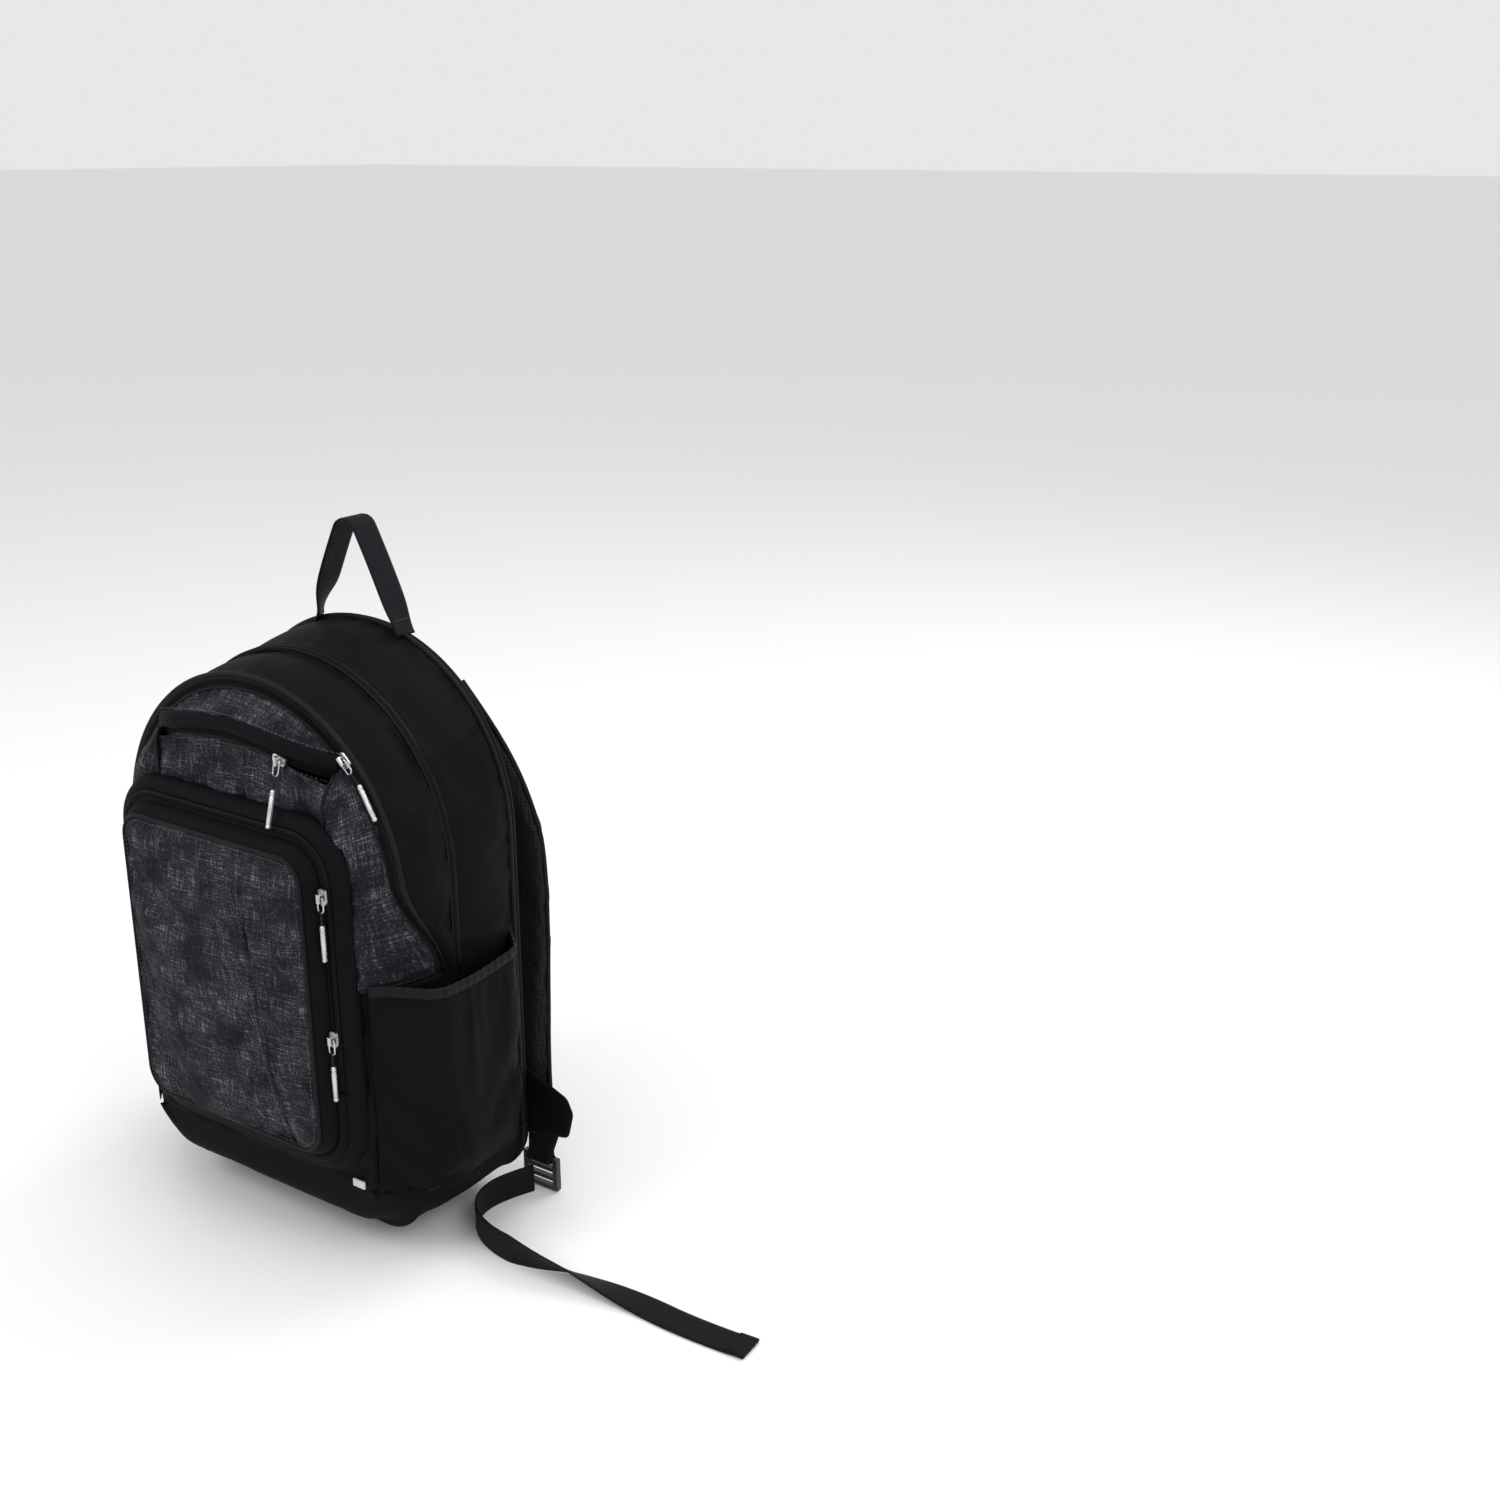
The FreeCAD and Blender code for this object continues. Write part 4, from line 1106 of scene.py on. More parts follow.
# The bag's form
@dataclass
class BagForm:
    """Sizes of the bag's body that its panels share, read from the frame."""

    zip_y: float = float(cad("front_zip_chain")[0][1])
    rear_zip_y: tuple[float, float] = (float(cad("gusset_rear_strip")[0][1]),
                                       float(cad("gusset_front_strip")[1][1]))
    front_y: float = float(cad("gusset_front_strip")[0][1])
    face_y: float = float(cad("upper_pocket_face")[0][1])
    half: float = float(cad("back_panel")[1][0])
    top: float = float(cad("back_panel")[1][2])
    bottom: float = float(cad("back_panel")[0][2])
    front_half: float = float(cad("front_zip_chain")[1][0])
    front_top: float = float(cad("front_zip_chain")[1][2])
    denim_half: float = float(cad("front_upper_panel")[1][0])
    denim_top: float = float(cad("front_upper_panel")[1][2])
    face_half: float = float(max(point[0] for point in node_points("base_panel")
                                 if point[1] < cad("base_panel")[0][1] + 0.5))
    strip_end: float = float(cad("front_zip_chain")[0][2])
    base_top: float = float(cad("base_panel")[1][2])
    base_corner: float = 44.0
    shoulder_width: float = 20.0
    sweep_top: float = -232.0
    sweep_end: float = -430.0
    sweep_reach: float = 38.0

    def at(self, y: float) -> tuple[float, float]:
        """Return the dome's half width and top height at one depth."""
        share = y / self.front_y
        return (self.half + (self.front_half - self.half) * share,
                self.top + (self.front_top - self.top) * share)

    def shoulder(self, inward: Points) -> Points:
        """Return the front's y at a distance in from the front zip."""
        turn = np.sin(math.pi / 2 * np.clip(inward / self.shoulder_width, 0, 1))
        return self.zip_y + (self.face_y - self.zip_y) * turn

    def front(self, flat: Points) -> Points:
        """Return the front's y at (x, z) points inside the front zip."""
        dense = arch(self.denim_half, self.denim_top, self.strip_end - 80, 700)
        return self.shoulder(distance_to(flat, dense))

    def rear_outline(self, first: int, count: int) -> Points:
        """Go round the back's edge, from the foot of one side over the top to the foot of the other.

        Args:
            first: the side it starts on: 1 for the right, -1 for the left.
            count: how many points to divide it by.

        Returns:
            The closed outline's (x, z) points, the first not repeated.
        """
        near, far = first * self.half, -first * self.half
        corners = [(near, self.bottom), (near, self.top), (far, self.top), (far, self.bottom)]
        radii = [self.base_corner, self.half - 1, self.half - 1, self.base_corner]
        return resample(rounded(corners, radii, closed=True, steps=40), count)[:-1]

    def sweep_back(self, piece: Piece) -> None:
        """Carry the lower ends of the front zip's seams back along the bag's sides.

        Args:
            piece: a piece that crosses the seams; its own mesh is moved.
        """
        points = mesh_points(piece) / MM
        x, y, z = points.T
        down = np.clip((self.sweep_top - z) / (self.sweep_top - self.strip_end), 0, 1)
        fade = np.clip((z - self.sweep_end) / (self.strip_end - self.sweep_end), 0, 1)
        down = down * down * (3 - 2 * down) * fade * fade * (3 - 2 * fade)
        fore = (y - self.face_y) / (self.zip_y - self.face_y)
        rear = sum(self.rear_zip_y)
        aft = (rear - 2 * y) / (rear - 2 * self.zip_y)
        share = down * np.clip(np.minimum(fore, aft), 0, 1)
        width = np.abs(x)
        points[:, 0] = np.sign(x) * (width + share * np.maximum(0.0, self.half - width))
        points[:, 1] = y + self.sweep_reach * share
        piece.data.vertices.foreach_set("co", (points * MM).ravel())
        piece.data.update()

    @property
    def middle(self) -> Spot:
        """Return a point in the middle of the main compartment."""
        return 0.0, self.front_y / 2, (self.top + self.bottom) / 2


FORM = BagForm()


@dataclass
class Shell:
    """The main compartment: gusset, sides, base and the long zip."""

    puff: float = 4.0
    columns: int = 190
    base_columns: int = 110
    zip_rise: float = 0.6

    def gusset(self, name: str, y_rear: float, y_front: float, rows: int, seed: float) -> Piece:
        """Return one strip of the gusset that runs down both sides to the base.

        Args:
            name: the piece's name.
            y_rear: its rear edge.
            y_front: its front edge.
            rows: how many lines of points it has.
            seed: where its unevenness is taken from.

        Returns:
            The piece, dressed.
        """
        lines = []
        for v in np.linspace(0, 1, rows):
            y = y_rear + (y_front - y_rear) * v
            half, top = FORM.at(y)
            swell = self.puff * math.sin(math.pi * v) ** 1.3
            lines.append(lift(arch(half + swell, top + swell, FORM.base_top, self.columns), y))
        points = np.stack(lines, axis=1)
        ruffle(points, 0, 1.6, 38.0, seed, fade=np.sin(math.pi * np.linspace(0, 1, rows))[1:-1])
        piece = Patch(points, FORM.middle).build(name)
        crease(piece, 0.012, 2.6, push=0.6)
        thicken(piece, 1.6)
        return dress(piece, POLYESTER)

    def base(self) -> Piece:
        """Return the base: bottom, rounded corners and the lip that turns up the front.

        Returns:
            The piece, dressed.
        """
        lines = []
        for y in np.linspace(0, FORM.front_y, 26):
            swell = 1.5 * math.sin(math.pi * y / FORM.front_y)
            lines.append(lift(trough(FORM.at(y)[0], FORM.bottom - swell, FORM.base_top, FORM.base_corner,
                                     self.base_columns), y))
        inward = FORM.front_half - FORM.denim_half
        rise = float(FORM.face_y - FORM.front_y)
        for share in np.linspace(0.12, 1, 12):
            step = (FORM.front_half - FORM.face_half) * share
            if step < inward:
                y = FORM.front_y + (FORM.zip_y - FORM.front_y) * step / inward
            else:
                y = float(FORM.shoulder(np.array([step - inward]))[0])
            low, corner = FORM.bottom - rise * 0.72 * share, FORM.base_corner * (1 - 0.3 * share)
            half = FORM.front_half - step
            lines.append(lift(trough(half, low, FORM.base_top, corner, self.base_columns), y))
        rim = lines[-1]
        ends = np.array([(-FORM.face_half, FORM.base_top), (FORM.face_half, FORM.base_top)])
        flat = lift(resample(ends, self.base_columns), FORM.face_y)
        for share in np.linspace(0.15, 1, 8):
            ring = rim * (1 - share) + flat * share
            ring[:, 1] = FORM.face_y - 2.0 * math.sin(math.pi * share)
            lines.append(ring)
        piece = Patch(np.stack(lines, axis=1), (0.0, -60.0, -480.0)).build("base_cloth")
        crease(piece, 0.008, 3.0)
        thicken(piece, 1.8)
        return dress(piece, POLYESTER)

    def long_zip(self) -> Piece:
        """Return the main compartment's zip over the dome.

        Returns:
            The piece, dressed.
        """
        y = sum(FORM.rear_zip_y) / 2
        half, top = FORM.at(y)
        path = lift(arch(half + self.zip_rise, top + self.zip_rise, FORM.strip_end, 150), y)
        across = steady(BACKWARD, path)
        out = np.cross(across, tangents(path))
        if out[len(out) // 2][2] < 0:
            out = -out
        return zip_piece("main_zip", [ZipRun(path, across, out)])

    def seams(self) -> list[Piece]:
        """Return the piping at the rear edge and the stitched seams beside the zip.

        Returns:
            The pieces, dressed.
        """
        path = lift(FORM.rear_outline(-1, 241), 0.6)
        piping = dress(tube("rear_edge_piping", path, 2.0, BACKWARD, closed=True), BINDING)
        rows = []
        for y in (FORM.rear_zip_y[0] + 3.0, FORM.rear_zip_y[1] - 3.0):
            half, top = FORM.at(y)
            line = lift(arch(half + 1.3, top + 1.3, FORM.strip_end, 150), y)
            out = line - np.array([0.0, y, FORM.top - FORM.half])
            out[:, 2] = np.maximum(out[:, 2], 0)
            rows.append(stitches("main_zip_stitches", line, unit(out)))
        return [piping, dress(join("main_zip_stitches", rows), DARK_THREAD)]

    def hem(self) -> Piece:
        """Return the binding that covers the seam between the sides and the base.

        Returns:
            The piece, dressed.
        """
        rows = []
        for side in Side:
            ends = np.array([(side.value * (FORM.half + 0.8), -2.0, FORM.base_top),
                             (side.value * (FORM.front_half + 0.8), FORM.front_y + 2, FORM.base_top)])
            path = resample(ends, 24)
            rows.append(tube("base_seam_" + side.label, path, 1.5, UPWARD))
        return dress(join("base_seam_piping", rows), BINDING)

    def build(self) -> None:
        """Build and place the main compartment."""
        middle = sum(FORM.rear_zip_y) / 2
        rear = self.gusset("gusset_rear_cloth", 0.0, middle, 18, 3.0)
        place(rear, "bag", "black_polyester", "gusset_rear_strip", "side_panel_left")
        front = self.gusset("gusset_front_cloth", middle, FORM.front_y, 18, 7.0)
        FORM.sweep_back(front)
        place(front, "bag", "black_polyester", "gusset_front_strip", "side_panel_right",
              "compartment_divider")
        place(self.base(), "bag", "black_polyester", "base_panel")
        place(self.long_zip(), "bag", "zip_coil", "main_zip_chain")
        for piece in self.seams():
            place(piece, "bag", "black_polyester")
        place(self.hem(), "bag", "elastic_binding")


@dataclass
class FrontPanel:
    """The denim front with its zip, the welted upper pocket and the dark lower wrap."""

    window: tuple[float, float] = (-81.0, 99.0)
    arc_centre: float = -397.0
    arc_radius: float = 260.0
    sill: float = -207.0
    columns: int = 150

    def arc_top(self, x: Points, radius: float) -> Points:
        """Return the height of the welt's arc at x for one radius."""
        return self.arc_centre + np.sqrt(radius ** 2 - x ** 2)

    def arc_path(self, radius: float, rise: float, count: int = 90) -> Points:
        """Follow the welt's arc a little off the front.

        Args:
            radius: the arc's radius.
            rise: how far the line is behind the front's surface, or before it where negative.
            count: how many points it has.

        Returns:
            The line, from left to right.
        """
        x = np.linspace(*self.window, count)
        middle = np.stack([x, self.arc_top(x, self.arc_radius + 4)], axis=-1)
        return np.stack([x, FORM.front(middle) + rise, self.arc_top(x, radius)], axis=-1)

    def denim(self) -> Piece:
        """Return the denim from the front zip round to the upper pocket and down both sides.

        Returns:
            The piece, dressed.
        """
        outer = arch(FORM.denim_half, FORM.denim_top, FORM.strip_end, self.columns)
        x = np.linspace(*self.window, 60)
        inner_path = np.concatenate([[(self.window[0], FORM.strip_end)],
                                     np.stack([x, self.arc_top(x, self.arc_radius + 1)], axis=-1),
                                     [(self.window[1], FORM.strip_end)]])
        inner = resample(inner_path, self.columns)
        lines = []
        for share in np.linspace(0, 1, 26) ** 1.35:
            flat = outer * (1 - share) + inner * share
            line = lift(flat, FORM.front(flat))
            line[:, 1] -= 2.6 * math.sin(math.pi * share)
            lines.append(line)
        points = np.stack(lines, axis=1)
        ruffle(points, 1, 1.8, 30.0, 11.0)
        piece = Patch(points, (0.0, 0.0, -330.0)).build("front_denim")
        crease(piece, 0.02, 5.0, push=0.4)
        thicken(piece, 1.6)
        return dress(piece, DENIM)

    def upper_face(self) -> Piece:
        """Return the slack denim face under the welt.

        Returns:
            The piece, dressed.
        """
        x = np.linspace(self.window[0] - 2, self.window[1] + 2, 70)
        lines = []
        for share in np.linspace(0, 1, 34):
            high = self.arc_top(x, self.arc_radius - 7)
            z = high * (1 - share) + self.sill * share
            bow = np.sin(math.pi * np.clip((x - self.window[0]) / (self.window[1] - self.window[0]), 0, 1))
            y = FORM.front(np.stack([x, z], axis=-1)) + 1.0 - 3.4 * math.sin(math.pi * share) * bow
            lines.append(np.stack([x, y, z], axis=-1))
        points = np.stack(lines, axis=1)
        ruffle(points, 1, 3.2, 24.0, 5.0)
        piece = Patch(points, (0.0, 0.0, -180.0)).build("upper_pocket_denim")
        crease(piece, 0.05, 6.0)
        thicken(piece, 1.5)
        return dress(piece, DENIM)

    def welt(self) -> Piece:
        """Return the black welt that hoods the upper zip.

        Returns:
            The piece, dressed.
        """
        section = [(2.0, -0.6), (11.5, -0.6), (12.0, -1.6), (9.5, -4.2), (4.0, -5.0), (0.4, -4.4),
                   (0.2, -3.4), (2.0, -2.6)]
        lines = [self.arc_path(self.arc_radius + step, y) for step, y in section + section[:1]]
        middle = (0.0, FORM.face_y - 2.0, self.arc_centre + self.arc_radius + 6)
        piece = Patch(np.stack(lines, axis=1), middle).build("welt_hood")
        return dress(mend(piece, 0.02, fill=True), POLYESTER)

    def lower(self) -> Piece:
        """Return the black wrap below the denim, from side to side behind the main pocket.

        Returns:
            The piece, dressed.
        """
        flat = [(-FORM.front_half, FORM.front_y)]
        steps = np.linspace(0, 26, 14)
        wrap = [(-(FORM.denim_half - step), float(FORM.shoulder(np.array([step]))[0])) for step in steps]
        left = flat + wrap
        plan = np.array(left + [(-x, y) for x, y in reversed(left)])
        plan = resample(plan, 120)
        lines = []
        for share in np.linspace(0, 1, 30):
            z = FORM.strip_end + (FORM.base_top - FORM.strip_end) * share
            lines.append(np.stack([plan[:, 0], plan[:, 1], np.full(len(plan), z)], axis=-1))
        points = np.stack(lines, axis=1)
        ruffle(points, 1, 1.5, 36.0, 21.0)
        piece = Patch(points, (0.0, 0.0, -400.0)).build("front_lower_cloth")
        crease(piece, 0.015, 4.0)
        thicken(piece, 1.6)
        return dress(piece, POLYESTER)

    def front_zip(self) -> Piece:
        """Return the front compartment's zip.

        Returns:
            The piece, dressed.
        """
        half, top = (FORM.front_half + FORM.denim_half) / 2, (FORM.front_top + FORM.denim_top) / 2
        path = lift(arch(half, top, FORM.strip_end, 150), FORM.zip_y + 0.4)
        return zip_piece("front_zip", [ZipRun.flat(path)])

    def upper_zip(self) -> Piece:
        """Return the upper pocket's zip."""
        return zip_piece("upper_zip", [ZipRun.flat(self.arc_path(self.arc_radius - 4, 0.9, 60))])

    def trims(self) -> tuple[Piece, Piece]:
        """Return the black piping round the front and the pale stitching on the denim.

        Returns:
            The pieces, dressed.
        """
        rims = []
        for half, top, y, radius in ((FORM.front_half + 1.2, FORM.front_top + 1.2, FORM.front_y - 0.6, 2.4),
                                     (FORM.denim_half - 0.6, FORM.denim_top - 0.6, FORM.zip_y - 0.8, 1.5)):
            rims.append(tube("rim", lift(arch(half, top, FORM.strip_end, 160), y), radius))
        for side in Side:
            seam = np.array([(side.value * FORM.denim_half, FORM.zip_y, FORM.strip_end),
                             (side.value * (FORM.denim_half - 6), FORM.zip_y - 12, FORM.strip_end),
                             (side.value * FORM.face_half, FORM.face_y, FORM.strip_end),
                             (side.value * self.window[1], FORM.face_y, FORM.strip_end)])
            rims.append(tube("rim", resample(seam, 30) + np.array([0, -0.4, 0]), 1.5, UPWARD))
        for x in self.window:
            z = np.linspace(float(self.arc_top(np.array(x), self.arc_radius)), self.sill - 1, 20)
            flat = np.stack([np.full(20, x), z], axis=-1)
            rims.append(tube("rim", lift(flat, FORM.front(flat) - 0.8), 1.1))
        piping = dress(join("front_piping", rims), BINDING)
        rows = [stitches("row", self.arc_path(self.arc_radius - 9.5, -0.9, 60), FORWARD),
                stitches("row", self.arc_path(self.arc_radius + 14, -2.2, 60), FORWARD)]
        return piping, dress(join("welt_stitches", rows), PALE_THREAD)

    def build(self) -> None:
        """Build and place the front."""
        denim, lower, long_zip = self.denim(), self.lower(), self.front_zip()
        piping, pale = self.trims()
        for piece in (denim, lower, long_zip, piping):
            FORM.sweep_back(piece)
        place(denim, "bag", "denim_cloth", "front_upper_panel", "front_side_strip_right",
              "front_side_strip_left")
        place(self.upper_face(), "bag", "denim_cloth", "upper_pocket_face")
        place(self.welt(), "bag", "black_polyester", "welt_flap")
        place(lower, "bag", "black_polyester", "front_lower_panel")
        place(long_zip, "bag", "zip_coil", "front_zip_chain")
        place(self.upper_zip(), "bag", "zip_coil", "upper_zip_chain")
        place(piping, "bag", "black_polyester")
        place(pale, "bag", "denim_cloth")


@dataclass
class MainPocket:
    """The bulging front pocket: gusset, parted zip and a two-piece denim face."""

    half: float = float(cad("pocket_gusset_outer")[1][0])
    top: float = float(cad("pocket_gusset_outer")[1][2])
    bottom: float = float(cad("pocket_gusset_outer")[0][2])
    mid_y: float = float(cad("pocket_gusset_outer")[0][1])
    face_y: float = float(cad("pocket_face_main")[1][1])
    zip_end: float = -400.0
    gap: tuple[float, float] = (-252.0, -344.0)
    corner: float = 45.0
    step: float = 8.0
    zip_band: float = 8.0
    face_step: float = 25.0
    puff: float = 9.0
    seam: Spot = (34.0, 48.0, 76.0)
    middle_z: float = -333.0

    def ring(self, step: float, y: float, count: int = 221) -> Points:
        """Go round the pocket.

        Args:
            step: how far in from the pocket's outline.
            y: the depth it is at.
            count: how many points it has.

        Returns:
            The closed ring, its first point repeated at its end.
        """
        half, top, low, radius = self.half - step, self.top - step, self.bottom + step, self.corner - step
        corners = [(half, low), (half, top), (-half, top), (-half, low)]
        return lift(resample(rounded(corners, [radius] * 4, closed=True, steps=18), count), y)

    def outer(self) -> Piece:
        """Return the black gusset from the front up to the zip.

        Returns:
            The piece, dressed.
        """
        rows = [(-1.5, 1.2), (-2.2, -2.5), (-1.4, -6.5), (1.0, -9.8), (4.5, -12.2), (8.2, -13.0)]
        lines = [self.ring(step, FORM.face_y + y)[:-1] for step, y in rows]
        behind = (0.0, FORM.face_y, self.middle_z)
        piece = Patch(np.stack(lines, axis=1), behind, round_u=True).build("pocket_gusset_outer_cloth")
        subdivide(piece)
        thicken(piece, 1.5)
        return dress(piece, POLYESTER)

    def inner(self) -> Piece:
        """Return the black gusset from the zip to the face, with the flap below the zip's ends.

        Returns:
            The piece, dressed.
        """
        start = self.step + self.zip_band
        rows = [(start - 0.3, 0.0), (start + 0.2, -3.5), (start + 2.0, -8.0), (start + 5.0, -11.5),
                (self.face_step - 0.6, -13.4)]
        lines = [self.ring(step, self.mid_y - 0.6 + y)[:-1] for step, y in rows]
        behind = (0.0, self.mid_y + 5, self.middle_z)
        rise = Patch(np.stack(lines, axis=1), behind, round_u=True).build("rise")
        subdivide(rise)
        thicken(rise, 1.5)
        low_rows = []
        for step, y in ((self.step - 0.4, -0.6), (self.step + 3, -3.2), (start - 2, -3.4),
                        (start + 0.6, -2.6)):
            ring = self.ring(step, self.mid_y + y, 441)
            low = ring[ring[:, 2] < self.zip_end]
            order = np.argsort(np.arctan2(low[:, 0], -(low[:, 2] - self.middle_z)))
            low_rows.append(resample(low[order], 90))
        flap = Patch(np.stack(low_rows, axis=1), (0.0, self.mid_y + 40, self.middle_z)).build("flap")
        thicken(flap, 1.5)
        return dress(join("pocket_gusset_inner_cloth", [rise, flap]), POLYESTER)

    def zip(self) -> Piece:
        """Return the pocket's zip: closed on the left and over the top, parted down the right.

        Returns:
            The piece, dressed.
        """
        ring = self.ring(self.step + self.zip_band / 2, self.mid_y - 0.9, 481)[:-1]
        ring = ring[np.argsort(np.arctan2(ring[:, 0], ring[:, 2] - self.middle_z))]
        upper = ring[ring[:, 2] > self.zip_end]
        right = upper[:, 0] > 0
        high, low = self.gap
        closed_run = upper[~(right & (upper[:, 2] < high))]
        parted_run = upper[right & (upper[:, 2] < high + 2) & (upper[:, 2] > low - 2)]
        end_run = upper[right & (upper[:, 2] < low)]
        runs = []
        for run, parted in ((closed_run, False), (parted_run, True), (end_run, False)):
            path = resample(run, max(8, int(len(run) * 0.6)))
            runs.append(ZipRun.flat(path, self.zip_band, parted))
        return zip_piece("pocket_zip", runs)

    def width_at(self, z: Points) -> Points:
        """Find how wide the face is.

        Args:
            z: the heights.

        Returns:
            The face's half width at each height.
        """
        half, radius = self.half - self.face_step, self.corner - self.face_step
        top, low = self.top - self.face_step, self.bottom + self.face_step
        near = np.maximum(np.maximum(z - (top - radius), (low + radius) - z), 0)
        return half - radius + np.sqrt(np.maximum(radius ** 2 - np.minimum(near, radius) ** 2, 0))

    def seam_x(self, z: Points) -> Points:
        """Find the face's curved seam.

        Args:
            z: the heights.

        Returns:
            The seam's x at each height.
        """
        share = (self.top - z) / (self.top - self.bottom)
        high, middle, low = self.seam
        return (high * (1 - share) * (1 - 2 * share) + middle * 4 * share * (1 - share)
                + low * share * (2 * share - 1))

    def fullness(self, x: Points, z: Points, reach: float) -> Points:
        """Find how far the stuffed face stands out.

        Args:
            x: the places across it.
            z: the heights.
            reach: from the middle of the height to where it is flat.

        Returns:
            A share for each place, 0 at the edge.
        """
        middle = ((self.top - self.face_step) + (self.bottom + self.face_step)) / 2
        across = np.clip(np.abs(x) / np.maximum(self.width_at(z), 1), 0, 1)
        up = np.clip(np.abs(z - middle) / reach, 0, 1)
        return (1 - across ** 3.2) * (1 - up ** 4) * (1.0 - 0.25 * (z - middle) / reach)

    def face_points(self, low_u: Callable[[Points], Points], high_u: Callable[[Points], Points],
                    count: int) -> Points:
        """Lay a grid over the face between two upright lines.

        Args:
            low_u: gives the left line's x at each height.
            high_u: gives the right line's x at each height.
            count: how many columns lie between them.

        Returns:
            The grid's points.
        """
        top, low = self.top - self.face_step, self.bottom + self.face_step
        middle, reach = (top + low) / 2, (top - low) / 2
        heights = middle + reach * np.sin(np.linspace(math.pi / 2, -math.pi / 2, 74))
        lines = []
        for share in np.linspace(0, 1, count):
            x = low_u(heights) * (1 - share) + high_u(heights) * share
            swell = self.fullness(x, heights, reach)
            valley = 1.6 * np.exp(-((x - self.seam_x(heights)) / 2.2) ** 2)
            lines.append(np.stack([x, self.face_y - 1.6 - self.puff * swell + valley, heights], axis=-1))
        points = np.stack(lines, axis=0)
        ruffle(points, 1, 2.4, 34.0, 15.0)
        return points

    def faces(self) -> list[Piece]:
        """Return the two denim pieces of the face.

        Returns:
            The pieces, dressed.
        """
        pieces = []
        for name, low_u, high_u, count in (
                ("pocket_face_main_denim", lambda z: -self.width_at(z), self.seam_x, 62),
                ("pocket_face_side_denim", self.seam_x, self.width_at, 26)):
            piece = Patch(self.face_points(low_u, high_u, count), (0.0, 0.0, self.middle_z)).build(name)
            crease(piece, 0.022, 5.0, push=0.3)
            thicken(piece, 1.6)
            pieces.append(dress(piece, DENIM))
        return pieces

    def trims(self) -> tuple[Piece, Piece]:
        """Return the piping round the face and the pale stitching beside it and along the seam.

        Returns:
            The pieces, dressed.
        """
        edge = self.ring(self.face_step - 0.3, self.face_y - 1.9, 241)[:-1]
        rim = tube("face_piping", edge, 1.7, closed=True)
        z = np.linspace(self.top - self.face_step - 4, self.bottom + self.face_step + 4, 80)
        x = self.seam_x(z) - 2.6
        swell = self.fullness(x, z, (z[0] - z[-1]) / 2)
        seam_line = np.stack([x, self.face_y - 2.9 - self.puff * swell, z], axis=-1)
        rows = [stitches("row", self.ring(self.face_step + 3.2, self.face_y - 3.4, 241), FORWARD),
                stitches("row", seam_line, FORWARD)]
        return dress(rim, BINDING), dress(join("pocket_stitches", rows), PALE_THREAD)

    def build(self) -> None:
        """Build and place the main pocket."""
        place(self.outer(), "bag", "black_polyester", "pocket_gusset_outer")
        place(self.inner(), "bag", "black_polyester", "pocket_gusset_inner")
        place(self.zip(), "bag", "zip_coil", "pocket_zip_chain")
        main, side = self.faces()
        place(main, "bag", "denim_cloth", "pocket_face_main")
        place(side, "bag", "denim_cloth", "pocket_face_side")
        rim, pale = self.trims()
        place(rim, "bag", "black_polyester")
        place(pale, "bag", "denim_cloth")


